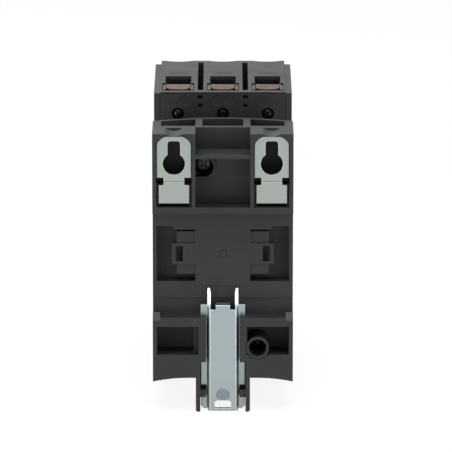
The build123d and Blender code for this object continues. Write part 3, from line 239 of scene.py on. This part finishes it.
# Rail clip. It is folded from the same strip. The thumb dish over its pull slot is painted a darker blue, a
# painted reflection of the shaded floor below the clip, and the top of the clip with its two hooks is painted
# nearly white, a painted highlight, so the hooks stand out against the seat.
clip_zinc = plated_metal(
    "zinc_plated_clip_steel", "#9faaaf", "#9ca69f", roughness=0.36, bloom=22.0, lines=0.3, edge=0.45
)
# The dish's darker blue is a painted reflection of the shaded floor below the clip.
dish, dish_radius, dish_fade, dish_painted_shade = at(0.0, 0.4, 6.65), 2.7 * MM, 0.15 * MM, 0.85
# Above the hooks' foot the clip's zinc is painted nearly white: a painted highlight.
hook_foot, highlight_fade = at(0.0, 0.0, 43.1).z, 0.4 * MM
clip_nodes = clip_zinc.node_tree
spot = add_node(clip_nodes, "ShaderNodeTexCoord").outputs["Object"]
from_dish = add_node(clip_nodes, "ShaderNodeVectorMath", {0: spot, 1: dish}, operation="DISTANCE")
painted_shade_share = add_node(
    clip_nodes,
    "ShaderNodeMapRange",
    {
        "Value": from_dish.outputs["Value"],
        "From Min": dish_radius - dish_fade,
        "From Max": dish_radius + dish_fade,
        "To Min": dish_painted_shade,
        "To Max": 0.0,
    },
).outputs["Result"]
shader = clip_nodes.nodes["Principled BSDF"]
plate_tone = shader.inputs["Base Color"].links[0].from_socket
painted_shade_tone = add_node(
    clip_nodes,
    "ShaderNodeMix",
    {"Factor": painted_shade_share, "A": plate_tone, "B": linear("#7f8a96")},
    data_type="RGBA",
).outputs["Result"]
hook_height = add_node(clip_nodes, "ShaderNodeSeparateXYZ", {0: spot}).outputs["Z"]
# Painted highlight: the clip's top, with its hooks, is mixed towards near white.
painted_highlight_share = add_node(
    clip_nodes,
    "ShaderNodeMapRange",
    {"Value": hook_height, "From Min": hook_foot, "From Max": hook_foot + highlight_fade},
).outputs["Result"]
highlighted_tone = add_node(
    clip_nodes,
    "ShaderNodeMix",
    {"Factor": painted_highlight_share, "A": painted_shade_tone, "B": linear("#f4f7f8")},
    data_type="RGBA",
).outputs["Result"]
clip_nodes.links.new(highlighted_tone, shader.inputs["Base Color"])
dress(clip_zinc, "rail_clip")

# Terminal cages. They are folded from the same strip and zinc plated in bulk in a drum, so they come out
# duller than the plates. Their zinc is painted much darker too, a painted shade for the wire openings they
# sit in.
# The cage zinc's dark tone is painted shade of the wire openings.
cage_zinc_painted_shade = plated_metal(
    "drum_plated_steel_painted_shade", "#4f5353", "#404343", roughness=0.5, bloom=3.0, lines=0.4, edge=0.2
)
sides, poles = ("line", "load"), (1, 2, 3)
for side in sides:
    for pole in poles:
        dress(cage_zinc_painted_shade, f"{side}_cage_{pole}")

# Clamp pads. Each is a hardened steel block that presses the wire on the bar, phosphated black and oiled
# against rust, so the wire openings look empty until the light falls straight in.
phosphated_steel = plated_metal(
    "black_phosphated_steel", "#151617", "#101112", roughness=0.6, bloom=1.2, lines=0.6, edge=0.15
)
for side in sides:
    for pole in poles:
        dress(phosphated_steel, f"{side}_pad_{pole}")

# Magnet. The fixed core and the armature are stacks of electrical steel sheet, riveted and ground on the
# pole faces, so their sides show the half millimetre sheets as fine lines, drawn here one millimetre apart.
core_steel = plated_metal(
    "ground_electrical_steel",
    "#8d8e8f",
    "#77787a",
    roughness=0.42,
    bloom=1.5,
    lines=0.5,
    edge=0.1,
    sheets=1.0,
)
dress(core_steel, "fixed_core", "armature")
pin_steel = plated_metal(
    "bright_drawn_steel", "#b9bbbd", "#a6a8aa", roughness=0.28, bloom=1.5, lines=0.3, edge=0.1
)
dress(pin_steel, "armature_pin")

# Terminal bars, contact bridges and shading rings. They are stamped from copper strip and tumbled, so they
# are a dull brownish pink with a soft edge, and darker where the strip has tarnished.
copper = plated_metal(
    "tumbled_copper_strip", "#583b2a", "#36241a", roughness=0.45, bloom=2.5, lines=0.5, edge=0.3
)
dress(copper, "shading_rings")
for pole in poles:
    dress(copper, f"line_bar_{pole}", f"load_bar_{pole}", f"contact_bridge_{pole}")

# Coil terminals. Two stamped brass strips over the coil take its supply under the clamp screws. They are
# yellow, and a little dull from the press oil.
brass = plated_metal(
    "stamped_brass_strip", "#cdb072", "#b99a5b", roughness=0.34, bloom=1.6, lines=0.4, edge=0.1
)
dress(brass, "coil_terminals")


# Coil winding. Enamelled copper wire is wound on the bobbin in close turns, and the outer layer shows as
# glossy brown ribs side by side. The real wire is 0.2 mm thick: it is drawn at 0.45 mm here so that it shows.
enamel = plated_metal(
    "enamelled_copper_wire", "#9c5a34", "#7d4426", roughness=0.3, bloom=1.2, lines=0.3, edge=0.05
)
dress(enamel, "coil_winding")


def new_tree(name, sizes, *others):
    """A Geometry Nodes tree with named number inputs and a finish input, and its input and output nodes."""
    tree = bpy.data.node_groups.new(name, "GeometryNodeTree")
    for size in sizes:
        tree.interface.new_socket(size, in_out="INPUT", socket_type="NodeSocketFloat")
    for count in others:
        tree.interface.new_socket(count, in_out="INPUT", socket_type="NodeSocketInt")
    tree.interface.new_socket("Finish", in_out="INPUT", socket_type="NodeSocketMaterial")
    tree.interface.new_socket("Geometry", in_out="OUTPUT", socket_type="NodeSocketGeometry")
    given = tree.nodes.new("NodeGroupInput").outputs
    return tree, given, tree.nodes.new("NodeGroupOutput").inputs["Geometry"]


def finish_tree(tree, geometry, finish, result):
    """Ends a tree in Realize Instances and Set Material."""
    real = add_node(tree, "GeometryNodeRealizeInstances", {"Geometry": geometry}).outputs[0]
    dressed = add_node(tree, "GeometryNodeSetMaterial", {"Geometry": real, "Material": finish}).outputs[0]
    tree.links.new(dressed, result)


def grown(tree, values):
    """The plain mesh that a tree makes from these values, smooth but for edges over 38 degrees."""
    seed = bpy.data.objects.new("seed", bpy.data.meshes.new("seed"))
    bpy.context.scene.collection.objects.link(seed)
    modifier = seed.modifiers.new("grow", "NODES")
    modifier.node_group = tree
    for socket in tree.interface.items_tree:
        if socket.in_out == "INPUT":
            modifier[socket.identifier] = values[socket.name]
    bpy.context.view_layer.update()
    graph = bpy.context.evaluated_depsgraph_get()
    mesh = bpy.data.meshes.new_from_object(seed.evaluated_get(graph))
    bpy.data.objects.remove(seed)
    mesh.shade_smooth()
    mesh.set_sharp_from_angle(angle=math.radians(38))
    return mesh


def along(direction, x, depth, height):
    """Stands a mesh's Z axis along a direction, at a point in mm across, into the object and up."""
    turn = Vector(direction).to_track_quat("Z", "Y").to_matrix().to_4x4()
    return Matrix.Translation(at(x, depth, height)) @ turn


def make_piece(name, mesh, places, body, slot, *stands_for):
    """One object on a body from copies of a mesh at several places, in place of CAD nodes."""
    whole = bmesh.new()
    for place in places:
        copy = mesh.copy()
        copy.transform(place)
        whole.from_mesh(copy)
        bpy.data.meshes.remove(copy)
    result = bpy.data.meshes.new(name)
    whole.to_mesh(result)
    whole.free()
    for material in mesh.materials:
        result.materials.append(material)
    piece = bpy.data.objects.new(name, result)
    bpy.context.scene.collection.objects.link(piece)
    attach(piece, body)
    if stands_for:
        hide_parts(*stands_for)
    return piece


turns_tree, given, result = new_tree(
    "close_wound_turns", ("Half width", "Half height", "Corner", "Wire radius", "Pitch"), "Turns"
)
full_width = add_node(turns_tree, "ShaderNodeMath", {0: given["Half width"], 1: 2.0}, operation="MULTIPLY")
full_height = add_node(
    turns_tree, "ShaderNodeMath", {0: given["Half height"], 1: 2.0}, operation="MULTIPLY"
)
loop_sides = {"Width": full_width, "Height": full_height}
loop = add_node(turns_tree, "GeometryNodeCurvePrimitiveQuadrilateral", loop_sides)
rounded = add_node(
    turns_tree,
    "GeometryNodeFilletCurve",
    {"Curve": loop.outputs[0], "Radius": given["Corner"], "Count": 6},
    mode="POLY",
)
section = add_node(
    turns_tree, "GeometryNodeCurvePrimitiveCircle", {"Resolution": 8, "Radius": given["Wire radius"]}
)
turn = add_node(
    turns_tree,
    "GeometryNodeCurveToMesh",
    {"Curve": rounded.outputs[0], "Profile Curve": section.outputs["Curve"]},
)
step = add_node(turns_tree, "ShaderNodeCombineXYZ", {"Z": given["Pitch"]})
row = add_node(turns_tree, "GeometryNodeMeshLine", {"Count": given["Turns"], "Offset": step.outputs[0]})
laid = add_node(
    turns_tree, "GeometryNodeInstanceOnPoints", {"Points": row.outputs[0], "Instance": turn.outputs[0]}
)
finish_tree(turns_tree, laid.outputs[0], given["Finish"], result)
outer_layer = grown(
    turns_tree,
    {
        "Half width": 15.65 * MM,
        "Half height": 14.45 * MM,
        "Corner": 3.9 * MM,
        "Wire radius": 0.225 * MM,
        "Pitch": 0.46 * MM,
        "Turns": 39,
        "Finish": enamel,
    },
)
to_front, to_rail, upward = (0, -1, 0), (0, 1, 0), (0, 0, 1)
magnet_height, first_turn_depth = 62.0, 25.6
winding_place = along(to_front, 0.0, first_turn_depth, magnet_height)
make_piece("coil_outer_layer", outer_layer, [winding_place], "housing", "winding_copper")

# Screws. The clamp screws, panel screws, housing screws and coil screws are cold headed and thread rolled
# from steel wire. Clamp and coil screws are zinc plated and bright, and the panel and housing screws are
# dark from their black passivation, so that only the edges of the driver recess glint in their wells.
screw_steel = plated_metal(
    "zinc_plated_screw_steel", "#b3baba", "#9aa2a2", roughness=0.32, bloom=1.2, lines=0.2, edge=0.1
)
black_screw = plated_metal(
    "black_passivated_screw_steel", "#434547", "#303133", roughness=0.33, bloom=1.0, lines=0.2, edge=0.1
)

screw_tree, given, result = new_tree(
    "cold_headed_screw",
    (
        "Thread radius",
        "Thread depth",
        "Thread pitch",
        "Thread length",
        "Neck radius",
        "Neck length",
        "Head radius",
        "Head height",
        "Head round",
        "Recess length",
        "Recess width",
        "Cross length",
        "Recess depth",
    ),
)


def raised(tree, geometry, height):
    """Geometry moved along Z by a value or a link."""
    shift = add_node(tree, "ShaderNodeCombineXYZ", {"Z": height})
    return add_node(tree, "GeometryNodeTransform", {"Geometry": geometry, "Translation": shift}).outputs[0]


def rescaled(tree, geometry, factor):
    """A body of revolution about Z with its radius at each point multiplied by a field."""
    spot = add_node(tree, "ShaderNodeSeparateXYZ", {0: add_node(tree, "GeometryNodeInputPosition")})
    across = add_node(tree, "ShaderNodeMath", {0: spot.outputs["X"], 1: factor}, operation="MULTIPLY")
    beside = add_node(tree, "ShaderNodeMath", {0: spot.outputs["Y"], 1: factor}, operation="MULTIPLY")
    place = add_node(tree, "ShaderNodeCombineXYZ", {"X": across, "Y": beside, "Z": spot.outputs["Z"]})
    inputs = {"Geometry": geometry, "Position": place}
    return add_node(tree, "GeometryNodeSetPosition", inputs).outputs[0]


# The thread is a cylinder whose radius falls and rises once for each pitch along a helix. Each pitch is made
# of six rows of faces.
rows_per_pitch = 6.0
rows = add_node(
    screw_tree, "ShaderNodeMath", {0: given["Thread length"], 1: given["Thread pitch"]}, operation="DIVIDE"
)
rows = add_node(screw_tree, "ShaderNodeMath", {0: rows, 1: rows_per_pitch}, operation="MULTIPLY")
rod = add_node(
    screw_tree,
    "GeometryNodeMeshCylinder",
    {
        "Vertices": 24,
        "Side Segments": rows,
        "Radius": given["Thread radius"],
        "Depth": given["Thread length"],
    },
)
spot = add_node(screw_tree, "ShaderNodeSeparateXYZ", {0: add_node(screw_tree, "GeometryNodeInputPosition")})
angle = add_node(
    screw_tree, "ShaderNodeMath", {0: spot.outputs["Y"], 1: spot.outputs["X"]}, operation="ARCTAN2"
)
angle = add_node(screw_tree, "ShaderNodeMath", {0: angle, 1: 2 * math.pi}, operation="DIVIDE")
climb = add_node(
    screw_tree, "ShaderNodeMath", {0: spot.outputs["Z"], 1: given["Thread pitch"]}, operation="DIVIDE"
)
phase = add_node(screw_tree, "ShaderNodeMath", {0: climb, 1: angle}, operation="SUBTRACT")
wave = add_node(screw_tree, "ShaderNodeMath", {0: phase, 1: 0.5}, operation="PINGPONG")
cut = add_node(screw_tree, "ShaderNodeMath", {0: wave, 1: 2.0}, operation="MULTIPLY")
cut = add_node(screw_tree, "ShaderNodeMath", {0: cut, 1: given["Thread depth"]}, operation="MULTIPLY")
cut = add_node(screw_tree, "ShaderNodeMath", {0: cut, 1: given["Thread radius"]}, operation="DIVIDE")
keep = add_node(screw_tree, "ShaderNodeMath", {0: 1.0, 1: cut}, operation="SUBTRACT")
threaded = rescaled(screw_tree, rod.outputs["Mesh"], keep)
half = add_node(screw_tree, "ShaderNodeMath", {0: given["Thread length"], 1: 0.5}, operation="MULTIPLY")
threaded = raised(screw_tree, threaded, half)

# The neck joins the thread to what it turns in.
pin = add_node(
    screw_tree,
    "GeometryNodeMeshCylinder",
    {"Vertices": 24, "Radius": given["Neck radius"], "Depth": given["Neck length"]},
)
half = add_node(screw_tree, "ShaderNodeMath", {0: given["Neck length"], 1: -0.5}, operation="MULTIPLY")
neck = raised(screw_tree, pin.outputs["Mesh"], half)

# The head is a disc with a rounded rim, and the driver recess is cut from it with two tapered wings.
wing_taper = 0.35
disc = add_node(
    screw_tree,
    "GeometryNodeMeshCylinder",
    {"Vertices": 48, "Side Segments": 14, "Radius": given["Head radius"], "Depth": given["Head height"]},
)
spot = add_node(screw_tree, "ShaderNodeSeparateXYZ", {0: add_node(screw_tree, "GeometryNodeInputPosition")})
top = add_node(screw_tree, "ShaderNodeMath", {0: given["Head height"], 1: 0.5}, operation="MULTIPLY")
start = add_node(screw_tree, "ShaderNodeMath", {0: top, 1: given["Head round"]}, operation="SUBTRACT")
over = add_node(screw_tree, "ShaderNodeMath", {0: spot.outputs["Z"], 1: start}, operation="SUBTRACT")
over = add_node(
    screw_tree, "ShaderNodeMath", {0: over, 1: given["Head round"]}, operation="DIVIDE", use_clamp=True
)
drop = add_node(screw_tree, "ShaderNodeMath", {0: over, 1: over}, operation="MULTIPLY")
drop = add_node(screw_tree, "ShaderNodeMath", {0: 1.0, 1: drop}, operation="SUBTRACT")
drop = add_node(screw_tree, "ShaderNodeMath", {0: drop, 1: 0.0}, operation="MAXIMUM")
drop = add_node(screw_tree, "ShaderNodeMath", {0: drop}, operation="SQRT")
drop = add_node(screw_tree, "ShaderNodeMath", {0: 1.0, 1: drop}, operation="SUBTRACT")
drop = add_node(screw_tree, "ShaderNodeMath", {0: drop, 1: given["Head round"]}, operation="MULTIPLY")
drop = add_node(screw_tree, "ShaderNodeMath", {0: drop, 1: given["Head radius"]}, operation="DIVIDE")
keep = add_node(screw_tree, "ShaderNodeMath", {0: 1.0, 1: drop}, operation="SUBTRACT")
head = rescaled(screw_tree, disc.outputs["Mesh"], keep)
head = raised(screw_tree, head, top)
deep = add_node(screw_tree, "ShaderNodeMath", {0: given["Recess depth"], 1: 2.0}, operation="MULTIPLY")
wings = []
for long_side, short_side in (("Recess length", "Recess width"), ("Recess width", "Cross length")):
    block = {"X": given[long_side], "Y": given[short_side], "Z": deep}
    size = add_node(screw_tree, "ShaderNodeCombineXYZ", block)
    wing = add_node(screw_tree, "GeometryNodeMeshCube", {"Size": size}).outputs["Mesh"]
    point = add_node(screw_tree, "GeometryNodeInputPosition")
    spot = add_node(screw_tree, "ShaderNodeSeparateXYZ", {0: point})
    low = add_node(screw_tree, "ShaderNodeMath", {0: spot.outputs["Z"], 1: 0.0}, operation="LESS_THAN")
    taper = add_node(screw_tree, "ShaderNodeMath", {0: low, 1: wing_taper}, operation="MULTIPLY")
    taper = add_node(screw_tree, "ShaderNodeMath", {0: 1.0, 1: taper}, operation="SUBTRACT")
    wing = rescaled(screw_tree, wing, taper)
    wings.append(raised(screw_tree, wing, given["Head height"]))
recess = add_node(
    screw_tree, "GeometryNodeMeshBoolean", {"Mesh 1": head}, operation="DIFFERENCE", solver="EXACT"
)
for wing in wings:
    screw_tree.links.new(wing, recess.inputs["Mesh 2"])
joined = add_node(screw_tree, "GeometryNodeJoinGeometry")
head = raised(screw_tree, recess.outputs["Mesh"], given["Thread length"])
for part in (threaded, neck, head):
    screw_tree.links.new(part, joined.inputs[0])
finish_tree(screw_tree, joined.outputs[0], given["Finish"], result)


def screw(thread, groove, pitch, length, neck, neck_length, head, head_height, rim, recess, finish):
    """A screw's mesh, its thread starting at the origin and its head on top, from radii and sizes in mm."""
    long_side, width, cross, deep = recess
    return grown(
        screw_tree,
        {
            "Thread radius": thread * MM,
            "Thread depth": groove * MM,
            "Thread pitch": pitch * MM,
            "Thread length": length * MM,
            "Neck radius": neck * MM,
            "Neck length": neck_length * MM,
            "Head radius": head * MM,
            "Head height": head_height * MM,
            "Head round": rim * MM,
            "Recess length": long_side * MM,
            "Recess width": width * MM,
            "Cross length": cross * MM,
            "Recess depth": deep * MM,
            "Finish": finish,
        },
    )


# A recess is given by its length, its width, the length of its cross wing and its depth. A screw's place is
# that of its thread's inner end.
clamp_screw = screw(
    thread=3.0, groove=0.45, pitch=1.0, length=18.75, neck=1.8, neck_length=1.65,
    head=4.3, head_height=5.0, rim=0.7, recess=(6.2, 1.3, 6.2, 2.4), finish=screw_steel,
)
pole_pitch, line_height, load_height, clamp_screw_depth = 17.8, 111.0, 13.0, 69.25
for side, height in (("line", line_height), ("load", load_height)):
    for pole in poles:
        place = along(to_front, pole_pitch * (2 - pole), clamp_screw_depth, height)
        body, node = f"{side}_screw_body_{pole}", f"{side}_screw_{pole}"
        make_piece(f"{side}_clamp_screw_{pole}", clamp_screw, [place], body, "screw_steel", node)

panel_screw = screw(
    thread=1.35, groove=0.2, pitch=0.8, length=2.9, neck=1.35, neck_length=0.2,
    head=2.2, head_height=1.7, rim=1.5, recess=(2.6, 0.6, 2.6, 0.9), finish=black_screw,
)
eighth_turn = Matrix.Rotation(math.radians(45), 4, "Z")
panel_screw_depth, panel_screw_row = 46.1, (-pole_pitch, 0.0, pole_pitch)
for side, height in (("upper", line_height), ("lower", load_height)):
    places = [along(to_rail, x, panel_screw_depth, height) @ eighth_turn for x in panel_screw_row]
    node = f"{side}_panel_screws"
    make_piece(f"{side}_panel_screw_set", panel_screw, places, "housing", "screw_steel", node)

housing_screw = screw(
    thread=2.0, groove=0.3, pitch=1.4, length=34.0, neck=2.0, neck_length=0.3,
    head=3.4, head_height=2.6, rim=0.9, recess=(4.0, 0.9, 4.0, 1.4), finish=black_screw,
)
housing_screw_depth, housing_screw_wells = 50.0, ((7.5, 97.2), (-13.65, 26.1))
places = [along(to_rail, x, housing_screw_depth, height) @ eighth_turn for x, height in housing_screw_wells]
make_piece("long_housing_screws", housing_screw, places, "housing", "screw_steel", "housing_screws")

coil_screw = screw(
    thread=1.75, groove=0.25, pitch=0.8, length=4.75, neck=1.5, neck_length=0.05,
    head=3.3, head_height=2.05, rim=0.9, recess=(5.0, 0.9, 0.9, 1.1), finish=screw_steel,
)
coil_screw_x, coil_screw_depth, coil_screw_height = 16.0, 99.45, 88.4
for side, x in (("left", coil_screw_x), ("right", -coil_screw_x)):
    place = along(to_front, x, coil_screw_depth, coil_screw_height)
    body, node = f"coil_screw_body_{side}", f"coil_screw_{side}"
    make_piece(f"{side}_coil_screw", coil_screw, [place], body, "screw_steel", node)

# Springs. They are coiled cold from drawn spring wire, with the last turn at each end closed flat, so
# the wire is a dark satin grey with a bright line along each turn.
spring_wire = plated_metal(
    "drawn_spring_wire", "#9a9c9f", "#85878a", roughness=0.3, bloom=1.0, lines=0.2, edge=0.05
)
closed_turns = 0.7
spring_tree, given, result = new_tree("closed_end_spring", ("Turns", "Coil radius", "Length", "Wire radius"))
spiral = add_node(
    spring_tree,
    "GeometryNodeCurveSpiral",
    {
        "Resolution": 20,
        "Rotations": given["Turns"],
        "Start Radius": given["Coil radius"],
        "End Radius": given["Coil radius"],
        "Height": 0.0,
    },
)
passed = add_node(spring_tree, "GeometryNodeSplineParameter").outputs["Factor"]
closed = add_node(spring_tree, "ShaderNodeMath", {0: closed_turns, 1: given["Turns"]}, operation="DIVIDE")
wire = add_node(spring_tree, "ShaderNodeMath", {0: given["Wire radius"], 1: 2.0}, operation="MULTIPLY")
rise = add_node(spring_tree, "ShaderNodeMath", {0: given["Length"], 1: wire}, operation="SUBTRACT")
opened = add_node(spring_tree, "ShaderNodeMath", {0: 1.0, 1: closed}, operation="SUBTRACT")
highest = add_node(spring_tree, "ShaderNodeMath", {0: rise, 1: given["Wire radius"]}, operation="ADD")
level = add_node(
    spring_tree,
    "ShaderNodeMapRange",
    {
        "Value": passed,
        "From Min": closed,
        "From Max": opened,
        "To Min": given["Wire radius"],
        "To Max": highest,
    },
).outputs["Result"]
lift = add_node(spring_tree, "ShaderNodeCombineXYZ", {"Z": level}).outputs[0]
coil = add_node(spring_tree, "GeometryNodeSetPosition", {"Geometry": spiral.outputs[0], "Offset": lift})
section = add_node(
    spring_tree, "GeometryNodeCurvePrimitiveCircle", {"Resolution": 10, "Radius": given["Wire radius"]}
)
wound = add_node(
    spring_tree,
    "GeometryNodeCurveToMesh",
    {"Curve": coil.outputs[0], "Profile Curve": section.outputs["Curve"], "Fill Caps": True},
)
finish_tree(spring_tree, wound.outputs[0], given["Finish"], result)


def spring(turns, radius, length, wire_radius):
    """A spring's mesh that stands on the origin, from sizes in mm."""
    return grown(
        spring_tree,
        {
            "Turns": float(turns),
            "Coil radius": radius * MM,
            "Length": length * MM,
            "Wire radius": wire_radius * MM,
            "Finish": spring_wire,
        },
    )


clip_spring_depth, clip_spring_foot = 3.5, 28.05
clip_spring = make_piece(
    "clip_spring_wire",
    spring(turns=7, radius=1.3, length=14.0, wire_radius=0.3),
    [along(upward, 0.0, clip_spring_depth, clip_spring_foot)],
    "housing",
    "spring_steel",
    "clip_spring",
)
return_spring_x, return_spring_depth = 19.9, 45.05
return_springs = make_piece(
    "return_spring_wires",
    spring(turns=5, radius=2.2, length=14.55, wire_radius=0.4),
    [along(to_front, x, return_spring_depth, magnet_height) for x in (-return_spring_x, return_spring_x)],
    "housing",
    "spring_steel",
    "return_springs",
)
contact_spring_depth = 75.75
contact_spring = spring(turns=4, radius=3.2, length=12.9, wire_radius=0.5)
contact_springs = [
    make_piece(
        f"contact_spring_wire_{pole}",
        contact_spring,
        [along(to_front, pole_pitch * (2 - pole), contact_spring_depth, magnet_height)],
        "carrier",
        "spring_steel",
        f"contact_spring_{pole}",
    )
    for pole in poles
]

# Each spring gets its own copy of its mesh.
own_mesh(clip_spring)
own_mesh(return_springs)
for pole, contact_piece in enumerate(contact_springs, 1):
    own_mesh(contact_piece)


# Guide ribs. Two short ribs of the base moulding run down behind the notches of the clip guide and close
# them, so no daylight shows past the clip. They are in the base's own plastic, with moulded round corners.
def rounded_block(name, low, high, corner, material):
    """A block between two points in mm across, into the object and up, with rounded edges."""
    block = bmesh.new()
    bmesh.ops.create_cube(block, size=1.0)
    for vertex in block.verts:
        across, back, up = (value + 0.5 for value in vertex.co)
        shares = zip(low, high, (across, 1 - back, up))
        vertex.co = at(*(start + (end - start) * share for start, end, share in shares))
    bmesh.ops.bevel(block, geom=block.edges[:], offset=corner * MM, segments=3, profile=0.5, affect="EDGES")
    mesh = bpy.data.meshes.new(name)
    block.to_mesh(mesh)
    block.free()
    mesh.materials.append(material)
    mesh.shade_smooth()
    mesh.set_sharp_from_angle(angle=math.radians(50))
    return mesh


rib_inner, rib_outer, rib_corner = 6.3, 9.3, 0.35
rib_back, rib_front, rib_foot, rib_top = 5.6, 7.9, 5.2, 9.4
for name, low_x, high_x in (
    ("guide_rib_left", rib_inner, rib_outer),
    ("guide_rib_right", -rib_outer, -rib_inner),
):
    low, high = (low_x, rib_back, rib_foot), (high_x, rib_front, rib_top)
    rib = rounded_block(name, low, high, rib_corner, polyamide)
    make_piece(name, rib, [Matrix.Identity(4)], "housing", "housing_plastic")

# Floor and backdrop. One pale sheet that the contactor stands on. For the camera it is mostly plain white
# paper with a soft shadow, and it lights the object from below as paper does.
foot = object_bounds()[0].z
reach, whiteness = 3.0, 0.88
floor_mesh = bpy.data.meshes.new("floor")
floor_mesh.from_pydata(
    [(-reach, -reach, foot), (reach, -reach, foot), (reach, reach, foot), (-reach, reach, foot)],
    [],
    [(0, 1, 2, 3)],
)
floor = bpy.data.objects.new("floor", floor_mesh)
bpy.context.scene.collection.objects.link(floor)
paper = bpy.data.materials.new("white_paper")
paper.use_nodes = True
sheet = paper.node_tree
sheet.nodes["Principled BSDF"].inputs["Base Color"].default_value = linear("#ededed")
sheet.nodes["Principled BSDF"].inputs["Roughness"].default_value = 0.9
white = add_node(sheet, "ShaderNodeEmission", {"Color": (1.0, 1.0, 1.0, 1.0), "Strength": 1.0})
paper_rays = add_node(sheet, "ShaderNodeLightPath")
direct = {0: paper_rays.outputs["Is Camera Ray"], 1: paper_rays.outputs["Is Glossy Ray"]}
seen = add_node(sheet, "ShaderNodeMath", direct, operation="MAXIMUM")
seen = add_node(
    sheet, "ShaderNodeMath", {0: seen, 1: paper_rays.outputs["Is Transmission Ray"]}, operation="MAXIMUM"
)
share = add_node(sheet, "ShaderNodeMath", {0: seen, 1: whiteness}, operation="MULTIPLY")
blend = add_node(
    sheet,
    "ShaderNodeMixShader",
    {0: share, 1: sheet.nodes["Principled BSDF"].outputs[0], 2: white.outputs[0]},
)
sheet.links.new(blend.outputs[0], sheet.nodes["Material Output"].inputs["Surface"])
floor_mesh.materials.append(paper)

# Studio room. Its white walls light the contactor dimly from all round, while the camera, and what is
# mirrored in metal, sees them as plain white.
room_light = 0.36
world = bpy.data.worlds.new("studio")
bpy.context.scene.world = world
world.use_nodes = True
room = world.node_tree
rays = add_node(room, "ShaderNodeLightPath")
direct = {0: rays.outputs["Is Camera Ray"], 1: rays.outputs["Is Glossy Ray"]}
seen = add_node(room, "ShaderNodeMath", direct, operation="MAXIMUM")
seen = add_node(
    room, "ShaderNodeMath", {0: seen, 1: rays.outputs["Is Transmission Ray"]}, operation="MAXIMUM"
)
level = add_node(room, "ShaderNodeMapRange", {"Value": seen, "To Min": room_light, "To Max": 1.0})
room.nodes["Background"].inputs["Color"].default_value = (1.0, 1.0, 1.0, 1.0)
room.links.new(level.outputs["Result"], room.nodes["Background"].inputs["Strength"])

# Lamps. A wide softbox hangs over the back of the object, weaker ones fill the sides and the front, and two
# small ones near the floor lift the lower half.
low_target_height = 0.03
middle = (cad_box[0] + cad_box[1]) / 2
low = Vector((middle.x, middle.y, foot + low_target_height))
for name, target, azimuth, elevation, distance, size, power in (
    ("overhead_softbox", middle, 180.0, 77.0, 0.9, 0.7, 11.0),
    ("left_fill", middle, 245.0, 18.0, 1.0, 0.4, 3.4),
    ("right_fill", middle, 115.0, 18.0, 1.0, 0.4, 3.4),
    ("front_fill", middle, 20.0, 40.0, 1.1, 0.7, 2.5),
    ("low_left_fill", low, 214.0, 3.0, 0.26, 0.08, 0.11),
    ("low_right_fill", low, 146.0, 3.0, 0.26, 0.08, 0.11),
):
    lamp_data = bpy.data.lights.new(name, "AREA")
    lamp_data.shape = "SQUARE"
    lamp_data.size = size
    lamp_data.energy = power
    lamp = bpy.data.objects.new(name, lamp_data)
    bpy.context.scene.collection.objects.link(lamp)
    a, e = math.radians(azimuth), math.radians(elevation)
    back = Vector((math.sin(a) * math.cos(e), -math.cos(a) * math.cos(e), math.sin(e)))
    lamp.location = target + back * distance
    lamp.rotation_mode = "QUATERNION"
    lamp.rotation_quaternion = (-back).to_track_quat("-Z", "Y")

# Camera. A long lens looks at the back of the contactor from slightly above, from where the photograph
# was taken.
aim = Vector((-0.00123, 0.007, 0.01158))
camera_distance = 1.9
camera_elevation = math.radians(14.5)
camera_data = bpy.data.cameras.new("camera")
camera_data.sensor_width = 36.0
camera_data.lens = 388.0
camera_data.clip_start = 0.1
camera_data.clip_end = 20.0
camera = bpy.data.objects.new("camera", camera_data)
bpy.context.scene.collection.objects.link(camera)
camera.location = aim + camera_distance * Vector((0, math.cos(camera_elevation), math.sin(camera_elevation)))
camera.rotation_euler = (math.pi / 2 - camera_elevation, 0, math.pi)
bpy.context.scene.camera = camera
bpy.context.scene.view_settings.view_transform = "Standard"
